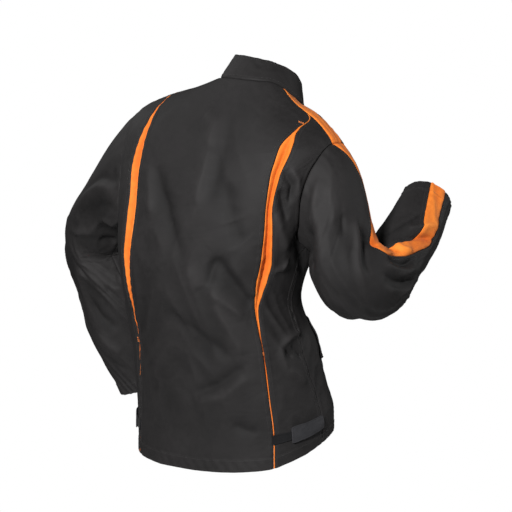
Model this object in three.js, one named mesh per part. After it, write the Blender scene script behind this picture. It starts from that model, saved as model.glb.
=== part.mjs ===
// A dark work jacket with bright inserts and stripes, in the shape that it has when worn.
// Millimetres, +Z up. The front faces -Y and the wearer's right is -X.
// The origin is the middle of the neck opening, at the height of the collar seam.
import * as THREE from 'three';

// Body sizes
const backLength = 720;
const neckHalfWidth = 70;
const neckHalfDepth = 75;
const chestHalfWidth = 212;
const chestHalfDepth = 142;

// Collar sizes
const collarHeight = 40;
const collarTopHalfWidth = 58;
const collarTopHalfDepth = 62;
const collarLean = 20;
const collarThickness = 2.6;
const collarOpening = 6;

// Sleeve sizes
const upperArmLength = 258;
const forearmLength = 312;
const elbowRadius = 68;
const sleeveHalfWidth = 62;
const sleeveHalfDepth = 84;
const capLength = 150;
const capOut = 0.7;
const capDown = 0.2;
const capAlong = 0.6;
const armholeGap = 2.0;

// Trim sizes
const stripeWidth = 32;
const insertWidth = 27;
const pleatDepth = 8;
const tabLength = 70;
const tabHeight = 42;
const stripShow = 30;
const stripUnderTab = 0.7;
const stripHeight = 22;
const placketWidth = 60;
const flapWidth = 130;
const flapHeight = 78;

// Cloth
const clothThickness = 1.6;
const tabThickness = 2;
const stripThickness = 1.2;
const facetAllowance = 0.5;
const flapAllowance = 1.6;
const seamGap = 0.3;
const seamShare = 0.9;
const yokeSeamShare = 1.2;
const foldSpread = 30;
const foldDepth = 8;
const foldTaper = 0.75;
const bodyRadius = 170;
const sleeveRadius = 65;

// Colours
const blackTwill = { color: 0x252324, roughness: 0.92, metalness: 0 };
const brightOrange = { color: 0xf0762a, roughness: 0.8, metalness: 0 };
const hookAndLoop = { color: 0x2e2f30, roughness: 0.97, metalness: 0 };

// Rings of the body, from the neck seam (v = 0) to the hem (v = 1).
// width, back and front run from the neck size (0) to the chest size (1).
// The drops are shares of the back length, sway and lean shares of the chest half sizes.
const bodyRings = [
  { v: 0.00, width: 0.000, back: 0.000, front: 0.000, sideDrop: 0.009, backDrop: -0.008, frontDrop: 0.112,
    sway: 0.000, lean: 0.000, tilt: -0.006, twist: 0.0 },
  { v: 0.05, width: 0.280, back: 0.190, front: 0.080, sideDrop: 0.038, backDrop: 0.030, frontDrop: 0.168,
    sway: 0.040, lean: 0.070, tilt: -0.016, twist: 1.8 },
  { v: 0.10, width: 0.670, back: 0.450, front: 0.260, sideDrop: 0.072, backDrop: 0.084, frontDrop: 0.190,
    sway: 0.080, lean: 0.150, tilt: -0.026, twist: 3.6 },
  { v: 0.16, width: 1.000, back: 0.750, front: 0.500, sideDrop: 0.112, backDrop: 0.160, frontDrop: 0.235,
    sway: 0.130, lean: 0.230, tilt: -0.028, twist: 5.4 },
  { v: 0.22, width: 1.060, back: 0.920, front: 0.660, sideDrop: 0.170, backDrop: 0.232, frontDrop: 0.285,
    sway: 0.170, lean: 0.300, tilt: -0.022, twist: 6.6 },
  { v: 0.30, width: 1.010, back: 1.000, front: 0.780, sideDrop: 0.250, backDrop: 0.308, frontDrop: 0.340,
    sway: 0.200, lean: 0.380, tilt: -0.015, twist: 9.3 },
  { v: 0.40, width: 0.900, back: 1.000, front: 0.800, sideDrop: 0.382, backDrop: 0.400, frontDrop: 0.410,
    sway: 0.236, lean: 0.470, tilt: -0.010, twist: 12.3 },
  { v: 0.48, width: 0.780, back: 0.930, front: 0.660, sideDrop: 0.470, backDrop: 0.478, frontDrop: 0.475,
    sway: 0.262, lean: 0.530, tilt: -0.006, twist: 13.3 },
  { v: 0.54, width: 0.735, back: 0.840, front: 0.520, sideDrop: 0.535, backDrop: 0.540, frontDrop: 0.535,
    sway: 0.264, lean: 0.535, tilt: -0.003, twist: 12.3 },
  { v: 0.60, width: 0.785, back: 0.800, front: 0.470, sideDrop: 0.598, backDrop: 0.600, frontDrop: 0.593,
    sway: 0.243, lean: 0.470, tilt: 0.000, twist: 10.5 },
  { v: 0.66, width: 0.825, back: 0.840, front: 0.520, sideDrop: 0.657, backDrop: 0.660, frontDrop: 0.645,
    sway: 0.215, lean: 0.395, tilt: 0.003, twist: 9.0 },
  { v: 0.78, width: 0.845, back: 0.910, front: 0.640, sideDrop: 0.770, backDrop: 0.778, frontDrop: 0.745,
    sway: 0.175, lean: 0.325, tilt: 0.010, twist: 5.5 },
  { v: 0.88, width: 0.885, back: 0.960, front: 0.700, sideDrop: 0.850, backDrop: 0.875, frontDrop: 0.805,
    sway: 0.155, lean: 0.270, tilt: 0.018, twist: 3.0 },
  { v: 1.00, width: 0.880, back: 1.000, front: 0.720, sideDrop: 0.938, backDrop: 0.975, frontDrop: 0.865,
    sway: 0.150, lean: 0.270, tilt: 0.022, twist: 2.0 },
];
const ringSquareness = 2.35;
const chestRing = 0.3;

// Armhole and seams on the body, as degrees round it (0 is the centre back, 90 a side) and shares of v.
const armholeTop = 0.16;
const armholeBottom = 0.40;
const armholeTopAngle = 88;
const armholeBottomAngle = 80;
const armholeBackAngle = 25;
const armholeFrontAngle = 28;
const stripeTurn = 11.5;
const stripeSettled = 0.125;
const insertStart = 0.075;
const insertTurn = 0.105;
const insertMargin = 1;
const stripeSeam = [
  { v: 0.00, angle: 81.0, width: 1.30 },
  { v: 0.03, angle: 83.5, width: 1.05 },
  { v: 0.055, angle: 86.5, width: 1.00 },
  { v: 0.08, angle: 90.5, width: 1.00 },
  { v: 0.10, angle: 91.5, width: 1.00 },
  { v: 0.13, angle: 89.5, width: 1.00 },
  { v: 0.16, angle: 88.0, width: 1.00 },
];
const insertSeam = [
  { v: 0.075, angle: 66.0, openRight: 0.10, openLeft: 0.10, deep: 0.0 },
  { v: 0.100, angle: 59.7, openRight: 0.14, openLeft: 0.14, deep: 0.0 },
  { v: 0.120, angle: 50.9, openRight: 0.30, openLeft: 0.20, deep: 0.1 },
  { v: 0.140, angle: 45.5, openRight: 0.75, openLeft: 0.30, deep: 0.5 },
  { v: 0.160, angle: 42.6, openRight: 0.85, openLeft: 0.45, deep: 0.8 },
  { v: 0.190, angle: 40.7, openRight: 0.75, openLeft: 0.65, deep: 1.0 },
  { v: 0.220, angle: 40.0, openRight: 0.62, openLeft: 0.80, deep: 1.0 },
  { v: 0.300, angle: 40.1, openRight: 0.42, openLeft: 0.80, deep: 1.0 },
  { v: 0.350, angle: 41.9, openRight: 0.50, openLeft: 0.80, deep: 1.0 },
  { v: 0.400, angle: 44.1, openRight: 0.66, openLeft: 0.80, deep: 1.0 },
  { v: 0.440, angle: 46.4, openRight: 0.80, openLeft: 0.75, deep: 1.0 },
  { v: 0.480, angle: 47.0, openRight: 0.72, openLeft: 0.55, deep: 0.8 },
  { v: 0.540, angle: 46.3, openRight: 0.22, openLeft: 0.35, deep: 0.2 },
  { v: 0.600, angle: 43.9, openRight: 0.10, openLeft: 0.12, deep: 0.0 },
  { v: 0.660, angle: 43.0, openRight: 0.10, openLeft: 0.10, deep: 0.0 },
  { v: 0.780, angle: 45.5, openRight: 0.10, openLeft: 0.10, deep: 0.0 },
  { v: 1.000, angle: 48.7, openRight: 0.10, openLeft: 0.10, deep: 0.0 },
];
const sideSeam = [
  { v: 0.40, angle: 80.0 },
  { v: 0.60, angle: 77.5 },
  { v: 0.66, angle: 75.5 },
  { v: 0.72, angle: 79.0 },
  { v: 0.78, angle: 84.0 },
  { v: 0.88, angle: 86.5 },
  { v: 1.00, angle: 88.0 },
];

// How far the neck seam hangs below its ring, as shares of the back length, gone at neckSettled.
const neckDrops = [
  { angle: -180, drop: 0.000 },
  { angle: -60, drop: -0.003 },
  { angle: 0, drop: 0.000 },
  { angle: 35, drop: -0.005 },
  { angle: 50, drop: -0.008 },
  { angle: 65, drop: -0.001 },
  { angle: 80, drop: 0.014 },
  { angle: 95, drop: 0.0275 },
  { angle: 110, drop: 0.0287 },
  { angle: 135, drop: 0.016 },
  { angle: 180, drop: 0.000 },
];
const neckSettled = 0.08;

// The same for the hem, from hemStart down.
const hemDrops = [
  { angle: -180, drop: 0.000 },
  { angle: -90, drop: 0.006 },
  { angle: -60, drop: 0.005 },
  { angle: -45, drop: 0.000 },
  { angle: -30, drop: -0.004 },
  { angle: -10, drop: -0.009 },
  { angle: 10, drop: -0.007 },
  { angle: 30, drop: -0.001 },
  { angle: 48, drop: 0.004 },
  { angle: 60, drop: -0.002 },
  { angle: 75, drop: -0.010 },
  { angle: 90, drop: -0.022 },
  { angle: 105, drop: -0.027 },
  { angle: 125, drop: -0.012 },
  { angle: 180, drop: 0.000 },
];
const hemStart = 0.8;

// Places on the body of what lies on it
const placketDrop = 0.05;
const tabDrop = 0.905;
const tabSlope = -0.001;
const flapAngle = 106;
const flapDrop = 0.60;

// Height of the collar round the neck, as a share of its full height.
const collarRows = [
  { angle: -180, height: 0.85 },
  { angle: -90, height: 1.00 },
  { angle: 0, height: 0.97 },
  { angle: 35, height: 0.87 },
  { angle: 50, height: 0.80 },
  { angle: 65, height: 0.86 },
  { angle: 80, height: 0.97 },
  { angle: 95, height: 1.06 },
  { angle: 110, height: 0.96 },
  { angle: 130, height: 0.85 },
  { angle: 180, height: 0.85 },
];

// Folds of the body: ridges are positive and valleys negative. Width and depth are shares of the fold sizes.
const bodyFolds = [
  { name: 'blade ridge', fromAngle: -1, fromV: 0.11, toAngle: 3, toV: 0.21, width: 0.5, depth: 0.5 },
  { name: 'blade ridge end', fromAngle: 3, fromV: 0.21, toAngle: 2, toV: 0.28, width: 0.5, depth: 0.4 },
  { name: 'blade valley', fromAngle: 15, fromV: 0.22, toAngle: 27, toV: 0.37, width: 0.8, depth: -0.6 },
  { name: 'left ridge', fromAngle: -30, fromV: 0.21, toAngle: -26, toV: 0.32, width: 0.5, depth: 0.4 },
  { name: 'left valley', fromAngle: -25, fromV: 0.21, toAngle: -5, toV: 0.42, width: 0.6, depth: -0.5 },
  { name: 'waist left', fromAngle: 16, fromV: 0.41, toAngle: 15, toV: 0.48, width: 0.5, depth: -0.5 },
  { name: 'waist right', fromAngle: 27, fromV: 0.46, toAngle: 42, toV: 0.53, width: 0.7, depth: -0.7 },
  { name: 'waist ridge', fromAngle: 16, fromV: 0.50, toAngle: 37, toV: 0.56, width: 0.5, depth: 0.4 },
  { name: 'low band', fromAngle: -17, fromV: 0.55, toAngle: 24, toV: 0.665, width: 0.8, depth: -0.5 },
  { name: 'band ridge', fromAngle: 19, fromV: 0.53, toAngle: 30, toV: 0.655, width: 0.6, depth: 0.4 },
  { name: 'low lens', fromAngle: 30, fromV: 0.69, toAngle: 0, toV: 0.77, width: 0.6, depth: -0.5 },
  { name: 'hem dent', fromAngle: 24, fromV: 0.85, toAngle: 38, toV: 0.87, width: 0.5, depth: -0.4 },
  { name: 'armhole hook', fromAngle: 46, fromV: 0.22, toAngle: 51, toV: 0.28, width: 0.4, depth: -0.6 },
  { name: 'armhole hollow', fromAngle: 52, fromV: 0.33, toAngle: 84, toV: 0.46, width: 0.6, depth: -0.9 },
  { name: 'side bulge', fromAngle: 46, fromV: 0.33, toAngle: 57, toV: 0.40, width: 0.6, depth: 0.5 },
  { name: 'waist tuck', fromAngle: 75, fromV: 0.61, toAngle: 56, toV: 0.64, width: 0.4, depth: 0.6 },
  { name: 'tuck hollow', fromAngle: 57, fromV: 0.665, toAngle: 66, toV: 0.685, width: 0.4, depth: -0.5 },
  { name: 'tuck end', fromAngle: 59, fromV: 0.71, toAngle: 73, toV: 0.75, width: 0.4, depth: 0.5 },
];

// Sleeve rows: the section's half sizes along the sleeve, as shares of the named half sizes.
const sleeveRows = [
  { t: 0.00, outer: 1.00, inner: 0.90, back: 1.00, front: 0.90, stripe: 0, leftWide: 1.00, leftIn: 0.90 },
  { t: 0.10, outer: 0.93, inner: 0.80, back: 0.90, front: 0.78, stripe: -18, leftWide: 0.97, leftIn: 0.66 },
  { t: 0.20, outer: 0.96, inner: 0.94, back: 0.92, front: 0.80, stripe: -30, leftWide: 1.00, leftIn: 0.70 },
  { t: 0.28, outer: 1.08, inner: 0.89, back: 1.00, front: 0.76, stripe: -8, leftWide: 0.98, leftIn: 0.88 },
  { t: 0.38, outer: 1.18, inner: 1.12, back: 0.96, front: 0.67, stripe: -12, leftWide: 0.93, leftIn: 0.88 },
  { t: 0.48, outer: 1.10, inner: 1.08, back: 0.73, front: 0.67, stripe: -26, leftWide: 1.08, leftIn: 0.90 },
  { t: 0.56, outer: 1.02, inner: 0.98, back: 0.58, front: 0.69, stripe: -20, leftWide: 1.29, leftIn: 1.05 },
  { t: 0.64, outer: 0.96, inner: 0.92, back: 0.56, front: 0.70, stripe: 4, leftWide: 1.36, leftIn: 1.15 },
  { t: 0.72, outer: 0.92, inner: 0.88, back: 0.64, front: 0.66, stripe: 24, leftWide: 1.30, leftIn: 1.10 },
  { t: 0.80, outer: 0.86, inner: 0.82, back: 0.66, front: 0.60, stripe: 22, leftWide: 1.20, leftIn: 0.96 },
  { t: 1.00, outer: 0.74, inner: 0.72, back: 0.56, front: 0.52, stripe: 4, leftWide: 1.00, leftIn: 0.72 },
];

// Folds of the sleeves (arm 1 is the right one) from a place A to a place B, in degrees round
// (0 is the outside, 90 the back) and shares of the way to the cuff.
const sleeveFolds = [
  { arm: 1, name: 'cap ridge', turnA: 95, tA: 0.08, turnB: 81, tB: 0.30, width: 0.6, depth: 0.4 },
  { arm: 1, name: 'upper valley', turnA: 41, tA: 0.19, turnB: 43, tB: 0.25, width: 0.5, depth: -0.5 },
  { arm: 1, name: 'bend ridge', turnA: 20, tA: 0.23, turnB: 54, tB: 0.38, width: 0.4, depth: 0.6 },
  { arm: 1, name: 'elbow valley', turnA: 7, tA: 0.27, turnB: 41, tB: 0.38, width: 0.5, depth: -0.6 },
  { arm: 1, name: 'fore ridge', turnA: -20, tA: 0.69, turnB: 40, tB: 0.82, width: 0.4, depth: 0.6 },
  { arm: 1, name: 'fore valley', turnA: -8, tA: 0.64, turnB: 50, tB: 0.77, width: 0.4, depth: -0.6 },
  { arm: 1, name: 'crook ridge', turnA: -26, tA: 0.60, turnB: 35, tB: 0.65, width: 0.4, depth: 0.4 },
  { arm: 1, name: 'crook valley', turnA: 0, tA: 0.50, turnB: 25, tB: 0.58, width: 0.4, depth: -0.4 },
  { arm: -1, name: 'upper arc', turnA: 79, tA: 0.22, turnB: 112, tB: 0.06, width: 0.6, depth: 0.6 },
  { arm: -1, name: 'lower arc', turnA: 89, tA: 0.37, turnB: 140, tB: 0.22, width: 0.6, depth: 0.6 },
  { arm: -1, name: 'crook hollow', turnA: 130, tA: 0.33, turnB: 170, tB: 0.28, width: 0.7, depth: -0.8 },
  { arm: -1, name: 'fore ridge', turnA: 110, tA: 0.43, turnB: 152, tB: 0.60, width: 0.5, depth: 0.5 },
];

// Arm poses: directions of the upper arm and the forearm, outwards, forwards and up.
const armPoses = [
  { side: 1, name: 'right', startOut: 0.88, startForward: -0.02, startDrop: 0.24, upperReach: 1.00,
    upperOut: 0.45, upperForward: 0.10, upperUp: -0.905, foreOut: -0.125, foreForward: 0.77, foreUp: 0.54 },
  { side: -1, name: 'left', startOut: 1.02, startForward: 0.10, startDrop: 0.24, upperReach: 0.95,
    upperOut: 0.69, upperForward: 0.215, upperUp: -0.69, foreOut: -0.265, foreForward: 0.14, foreUp: -0.95 },
];

// Mesh fineness
const armSteps = 7;
const collarColumns = 28;
const collarLevels = [0.35, 0.7, 1];
const backColumns = 16;
const frontColumns = 8;
const sideColumns = 6;
const insertColumns = 4;
const yokeColumns = 3;
const stripeColumns = 2;
const patchColumns = 6;
const yokeRows = [0, 0.03, 0.055, insertStart, 0.09, insertTurn, 0.12, 0.14, armholeTop];
const lowerRows = [0.45, 0.5, 0.55, 0.6, 0.65, 0.7, 0.76, 0.82, 0.88, 0.95, 1];

const sleeveSteps = [
  0, 0.04, 0.09, 0.14, 0.19, 0.24, 0.28, 0.32, 0.36, 0.4,
  0.44, 0.49, 0.54, 0.59, 0.64, 0.69, 0.75, 0.82, 0.91, 1,
];
const angleStep = 0.5;
const shareStep = 0.001;
const sleeveAngleStep = 1;
const sleeveShareStep = 0.003;
const sameRow = 1e-9;

const radians = Math.PI / 180;
const mix = (a, b, share) => a + (b - a) * share;
const clampShare = (value) => Math.min(1, Math.max(0, value));
const smoothShare = (value) => {
  const share = clampShare(value);
  return share * share * (3 - 2 * share);
};

// Smooth reading of a table between its rows: a cubic through each column.
function readRows(rows, key, at) {
  const last = rows.length - 1;
  let row = 0;
  while (row < last - 1 && at > rows[row + 1][key]) {
    row += 1;
  }
  const before = rows[Math.max(row - 1, 0)];
  const start = rows[row];
  const end = rows[row + 1];
  const after = rows[Math.min(row + 2, last)];
  const span = end[key] - start[key];
  const s = clampShare((at - start[key]) / span);
  const values = {};
  for (const column of Object.keys(start)) {
    const startSlope = (end[column] - before[column]) / (end[key] - before[key]) * span;
    const endSlope = (after[column] - start[column]) / (after[key] - start[key]) * span;
    const rise = end[column] - start[column];
    const bend = (startSlope - rise) * (1 - s) + (rise - endSlope) * s;
    values[column] = start[column] + rise * s + bend * s * (1 - s);
  }
  return values;
}

// Height of a fold at a place, from its distance to the line from start to end, all in millimetres.
function foldHeight(fold, place, start, end) {
  const line = end.clone().sub(start);
  const share = clampShare(place.clone().sub(start).dot(line) / line.lengthSq());
  const reach = start.clone().addScaledVector(line, share).distanceTo(place) / (fold.width * foldSpread);
  const taper = 1 - foldTaper * Math.pow(2 * share - 1, 4);
  return fold.depth * foldDepth * taper * Math.exp(-reach * reach);
}

// The body's surface without folds.
function bodyBase(angle, v) {
  const ring = readRows(bodyRings, 'v', v);
  const sine = Math.sin((angle + ring.twist) * radians);
  const cosine = Math.cos((angle + ring.twist) * radians);
  const powers = Math.pow(Math.abs(sine), ringSquareness) + Math.pow(Math.abs(cosine), ringSquareness);
  const reach = Math.pow(powers, -1 / ringSquareness);
  const halfWidth = mix(neckHalfWidth, chestHalfWidth, ring.width);
  const halfDepth = mix(neckHalfDepth, chestHalfDepth, cosine > 0 ? ring.back : ring.front);
  const endDrop = cosine > 0 ? ring.backDrop : ring.frontDrop;
  const neckHang = readRows(neckDrops, 'angle', angle).drop * (1 - smoothShare(v / neckSettled));
  const hemHang = readRows(hemDrops, 'angle', angle).drop * smoothShare((v - hemStart) / (1 - hemStart));
  const drop = mix(ring.sideDrop, endDrop, cosine * cosine) - ring.tilt * sine + neckHang + hemHang;
  return new THREE.Vector3(
    ring.sway * chestHalfWidth - halfWidth * sine * reach,
    ring.lean * chestHalfDepth + halfDepth * cosine * reach,
    -drop * backLength,
  );
}

// The surface's outward direction from two neighbouring points each way.
function surfaceNormal(surface, a, b, stepA, stepB) {
  const alongA = surface(a + stepA, b).sub(surface(a - stepA, b));
  const alongB = surface(a, b + stepB).sub(surface(a, b - stepB));
  return alongA.cross(alongB).normalize();
}

function bodyFoldHeight(angle, v) {
  const flat = (atAngle, atV) => new THREE.Vector2(atAngle * radians * bodyRadius, atV * backLength);
  const height = (fold) =>
    foldHeight(fold, flat(angle, v), flat(fold.fromAngle, fold.fromV), flat(fold.toAngle, fold.toV));
  return bodyFolds.reduce((sum, fold) => sum + height(fold), 0);
}

// A point of the body with its outward normal, folds included.
function bodySkin(angle, v) {
  const inner = Math.min(1 - shareStep, Math.max(shareStep, v));
  const normal = surfaceNormal(bodyBase, angle, inner, angleStep, shareStep).negate();
  const point = bodyBase(angle, v).addScaledVector(normal, bodyFoldHeight(angle, v));
  return { point, normal };
}

// Millimetres for each degree round the body.
function bodyDegree(angle, v) {
  return bodyBase(angle + angleStep, v).distanceTo(bodyBase(angle - angleStep, v)) / (2 * angleStep);
}

// Place on the armhole's edge. turn is 0 at the top, 90 at the back, 180 below and -90 at the front.
function armholePlace(turn) {
  const stripeAngle = stripeWidth / 2 / bodyDegree(armholeTopAngle, armholeTop);
  const away = Math.abs(turn);
  if (away <= stripeTurn) {
    return { angle: armholeTopAngle - stripeAngle * turn / stripeTurn, v: armholeTop };
  }
  const way = (away - stripeTurn) / (180 - stripeTurn);
  const middle = mix(armholeTopAngle, armholeBottomAngle, way);
  const reach = turn > 0 ? armholeBackAngle : armholeFrontAngle;
  const offset = stripeAngle * (1 - way) + (reach - stripeAngle / 2) * Math.sin(way * Math.PI);
  const v = mix(armholeTop, armholeBottom, (1 - Math.cos(way * Math.PI)) / 2);
  return { angle: middle - Math.sign(turn) * offset, v };
}

// Edges of the panels, in degrees at a share v. ahead is 1 for the edge nearer the front.
function stripeEdge(v, ahead) {
  const { angle, width } = readRows(stripeSeam, 'v', v);
  return angle + ahead * width * stripeWidth / 2 / bodyDegree(angle, v);
}

function insertEdge(side, v, ahead) {
  const { angle, openRight, openLeft } = readRows(insertSeam, 'v', v);
  const open = side > 0 ? openRight : openLeft;
  const half = open * insertWidth / 2 / bodyDegree(angle, v);
  const settled = smoothShare((v - insertStart) / (insertTurn - insertStart));
  const centre = mix(stripeEdge(v, -1) - half - insertMargin, angle, settled);
  return centre + ahead * half;
}

function armholeEdge(v, ahead) {
  const depth = clampShare((v - armholeTop) / (armholeBottom - armholeTop));
  const way = Math.acos(1 - 2 * depth) / Math.PI;
  return armholePlace(-ahead * mix(stripeTurn, 180, way)).angle;
}

function sideEdge(v) {
  return readRows(sideSeam, 'v', v).angle;
}

function sideFrontEdge(v) {
  if (v < armholeTop) {
    return stripeEdge(v, -1);
  }
  return v < armholeBottom ? armholeEdge(v, -1) : sideEdge(v);
}

function frontSideEdge(v) {
  if (v < armholeTop) {
    return stripeEdge(v, 1);
  }
  return v < armholeBottom ? armholeEdge(v, 1) : sideEdge(v);
}

// Rows that all the body panels share, so that their seams match.
const armholeRows = Array.from({ length: armSteps }, (_, step) =>
  armholePlace(mix(stripeTurn, 180, (step + 1) / armSteps)).v);
const bodyRows = [...yokeRows, ...armholeRows, ...lowerRows];

// A closed sheet of cloth over a grid of places, each with a point and a normal.
function sheetGeometry(places, thickness, lift) {
  const rows = places.length;
  const columns = places[0].length;
  const positions = [];
  for (const offset of [lift + thickness / 2, lift - thickness / 2]) {
    for (const row of places) {
      for (const { point, normal } of row) {
        const corner = point.clone().addScaledVector(normal, offset);
        positions.push(corner.x, corner.y, corner.z);
      }
    }
  }
  const layer = rows * columns;
  const at = (row, column) => row * columns + column;
  const faces = [];
  const quad = (a, b, c, d) => faces.push([a, b, c], [a, c, d]);
  for (let row = 0; row < rows - 1; row += 1) {
    for (let column = 0; column < columns - 1; column += 1) {
      const [a, b] = [at(row, column), at(row, column + 1)];
      const [d, c] = [at(row + 1, column), at(row + 1, column + 1)];
      quad(a, b, c, d);
      quad(a + layer, d + layer, c + layer, b + layer);
    }
  }
  const rim = [];
  for (let column = 0; column < columns - 1; column += 1) {
    rim.push(at(0, column));
  }
  for (let row = 0; row < rows - 1; row += 1) {
    rim.push(at(row, columns - 1));
  }
  for (let column = columns - 1; column > 0; column -= 1) {
    rim.push(at(rows - 1, column));
  }
  for (let row = rows - 1; row > 0; row -= 1) {
    rim.push(at(row, 0));
  }
  rim.forEach((corner, index) => {
    const next = rim[(index + 1) % rim.length];
    quad(next, corner, corner + layer, next + layer);
  });
  if (signedVolume(positions, faces) < 0) {
    faces.forEach((face) => face.reverse());
  }
  const geometry = new THREE.BufferGeometry();
  geometry.setAttribute('position', new THREE.Float32BufferAttribute(positions, 3));
  geometry.setIndex(faces.flat());
  geometry.computeVertexNormals();
  return geometry;
}

function signedVolume(positions, faces) {
  const corner = (index) => new THREE.Vector3().fromArray(positions, index * 3);
  return faces.reduce((sum, [a, b, c]) => sum + corner(a).dot(corner(b).cross(corner(c))) / 6, 0);
}

function clothMesh(name, places, finish, thickness = clothThickness, lift = 0) {
  const mesh = new THREE.Mesh(sheetGeometry(places, thickness, lift), new THREE.MeshStandardMaterial(finish));
  mesh.name = name;
  return mesh;
}

// A body panel between two edges, over the shared rows from one share of v to another.
function bodyPanel(name, finish, startV, endV, columns, firstEdge, secondEdge, sink = () => 0) {
  const rows = bodyRows.filter((v) => v >= startV - sameRow && v <= endV + sameRow);
  const places = rows.map((v) => {
    const middle = (firstEdge(v) + secondEdge(v)) / 2;
    const gap = seamGap / bodyDegree(middle, v) * (v < armholeTop ? yokeSeamShare : seamShare);
    return Array.from({ length: columns + 1 }, (_, column) => {
      const share = column / columns;
      const angle = mix(firstEdge(v) + gap, secondEdge(v) - gap, share);
      const { point, normal } = bodySkin(angle, v);
      return { point: point.addScaledVector(normal, -sink(share, v)), normal };
    });
  });
  return clothMesh(name, places, finish);
}

// The centreline of a sleeve: straight, round the elbow and straight again.
function sleeveLine(pose, distance) {
  const { sway, lean } = readRows(bodyRings, 'v', chestRing);
  const start = new THREE.Vector3(
    (sway - pose.side * pose.startOut) * chestHalfWidth,
    (lean - pose.startForward) * chestHalfDepth,
    -pose.startDrop * backLength,
  );
  const upper = new THREE.Vector3(-pose.side * pose.upperOut, -pose.upperForward, pose.upperUp).normalize();
  const fore = new THREE.Vector3(-pose.side * pose.foreOut, -pose.foreForward, pose.foreUp).normalize();
  const bend = upper.angleTo(fore);
  const axis = upper.clone().cross(fore).normalize();
  const cut = elbowRadius * Math.tan(bend / 2);
  const upperRun = pose.upperReach * upperArmLength - cut;
  const turnRun = elbowRadius * bend;
  const foreRun = forearmLength - cut;
  const total = upperRun + turnRun + foreRun;
  const turned = bend * clampShare((distance * total - upperRun) / turnRun);
  const inwards = axis.clone().cross(upper);
  const centre = start.clone().addScaledVector(upper, Math.min(distance * total, upperRun));
  centre.addScaledVector(upper, elbowRadius * Math.sin(turned));
  centre.addScaledVector(inwards, elbowRadius * (1 - Math.cos(turned)));
  const ahead = upper.clone().applyAxisAngle(axis, turned);
  centre.addScaledVector(ahead, Math.max(0, distance * total - upperRun - turnRun));
  const up = new THREE.Vector3(0, 0, 1);
  up.addScaledVector(upper, -up.dot(upper)).normalize();
  const back = upper.clone().cross(up).multiplyScalar(pose.side);
  return {
    centre,
    upper,
    total,
    up: up.applyAxisAngle(axis, turned),
    back: back.applyAxisAngle(axis, turned),
  };
}

// The sleeve's surface: it leaves the armhole outwards and settles into a tube.
function sleeveBase(pose, turn, distance) {
  const line = sleeveLine(pose, distance);
  const row = readRows(sleeveRows, 't', distance);
  const place = armholePlace(turn > 180 ? turn - 360 : turn);
  const seam = bodySkin(pose.side * place.angle, place.v).point;
  const tube = line.centre.clone();
  const sine = Math.sin(turn * radians);
  const cosine = Math.cos(turn * radians);
  const wide = pose.side > 0 ? 1 : row.leftWide;
  const inner = pose.side > 0 ? row.inner : row.leftIn;
  tube.addScaledVector(line.up, (cosine > 0 ? row.outer * wide : inner) * sleeveHalfWidth * cosine);
  tube.addScaledVector(line.back, (sine > 0 ? row.back * wide : row.front) * sleeveHalfDepth * sine);
  const outwards = new THREE.Vector3(-pose.side * capOut, 0, -capDown)
    .addScaledVector(line.upper, capAlong).normalize();
  const run = distance * line.total;
  const cap = seam.addScaledVector(outwards, run);
  return cap.lerp(tube, smoothShare(run / capLength));
}

function sleeveFoldHeight(pose, turn, distance) {
  const { total } = sleeveLine(pose, distance);
  const flat = (atTurn, atT) => new THREE.Vector2(atTurn * radians * sleeveRadius, atT * total);
  const height = (fold) =>
    foldHeight(fold, flat(turn, distance), flat(fold.turnA, fold.tA), flat(fold.turnB, fold.tB));
  const folds = sleeveFolds.filter((fold) => fold.arm === pose.side);
  return folds.reduce((sum, fold) => sum + height(fold), 0) * smoothShare(distance * total / foldSpread);
}

function sleeveSkin(pose, turn, distance) {
  const surface = (a, b) => sleeveBase(pose, a, b);
  const inner = Math.min(1 - sleeveShareStep, Math.max(sleeveShareStep + shareStep, distance));
  const normal = surfaceNormal(surface, turn, inner, sleeveAngleStep, sleeveShareStep);
  normal.multiplyScalar(pose.side);
  const point = sleeveBase(pose, turn, distance);
  return { point: point.addScaledVector(normal, sleeveFoldHeight(pose, turn, distance)), normal };
}

// Degrees round the sleeve for half of the stripe.
function stripeHalfTurn(pose, distance) {
  const girth = sleeveBase(pose, 1, distance).distanceTo(sleeveBase(pose, -1, distance)) / 2;
  return mix(stripeTurn, stripeWidth / 2 / girth, smoothShare(distance / stripeSettled));
}

function sleevePanel(name, finish, pose, columns, firstTurn, secondTurn) {
  const places = sleeveSteps.map((step) => {
    const distance = Math.max(step, armholeGap / sleeveLine(pose, 0).total);
    const at = (turn) => sleeveBase(pose, turn, distance);
    const gap = (turn) => seamShare * seamGap / at(turn).distanceTo(at(turn + 1));
    const first = firstTurn(distance);
    const second = secondTurn(distance);
    return Array.from({ length: columns + 1 }, (_, column) => {
      const turn = mix(first + gap(first), second - gap(second), column / columns);
      return sleeveSkin(pose, turn, distance);
    });
  });
  return clothMesh(name, places, finish);
}

function makeSleeve(pose) {
  const stripe = (distance) => readRows(sleeveRows, 't', distance).stripe;
  const half = (distance) => stripeHalfTurn(pose, distance);
  const backEdge = (distance) => stripe(distance) + half(distance);
  const frontEdge = (distance) => stripe(distance) - half(distance);
  const inner = () => 180;
  const innerFront = () => -180;
  return [
    sleevePanel(`${pose.name}_sleeve_stripe`, brightOrange, pose, stripeColumns, frontEdge, backEdge),
    sleevePanel(`${pose.name}_sleeve_back`, blackTwill, pose, armSteps, backEdge, inner),
    sleevePanel(`${pose.name}_sleeve_front`, blackTwill, pose, armSteps, innerFront, frontEdge),
  ];
}

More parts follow.
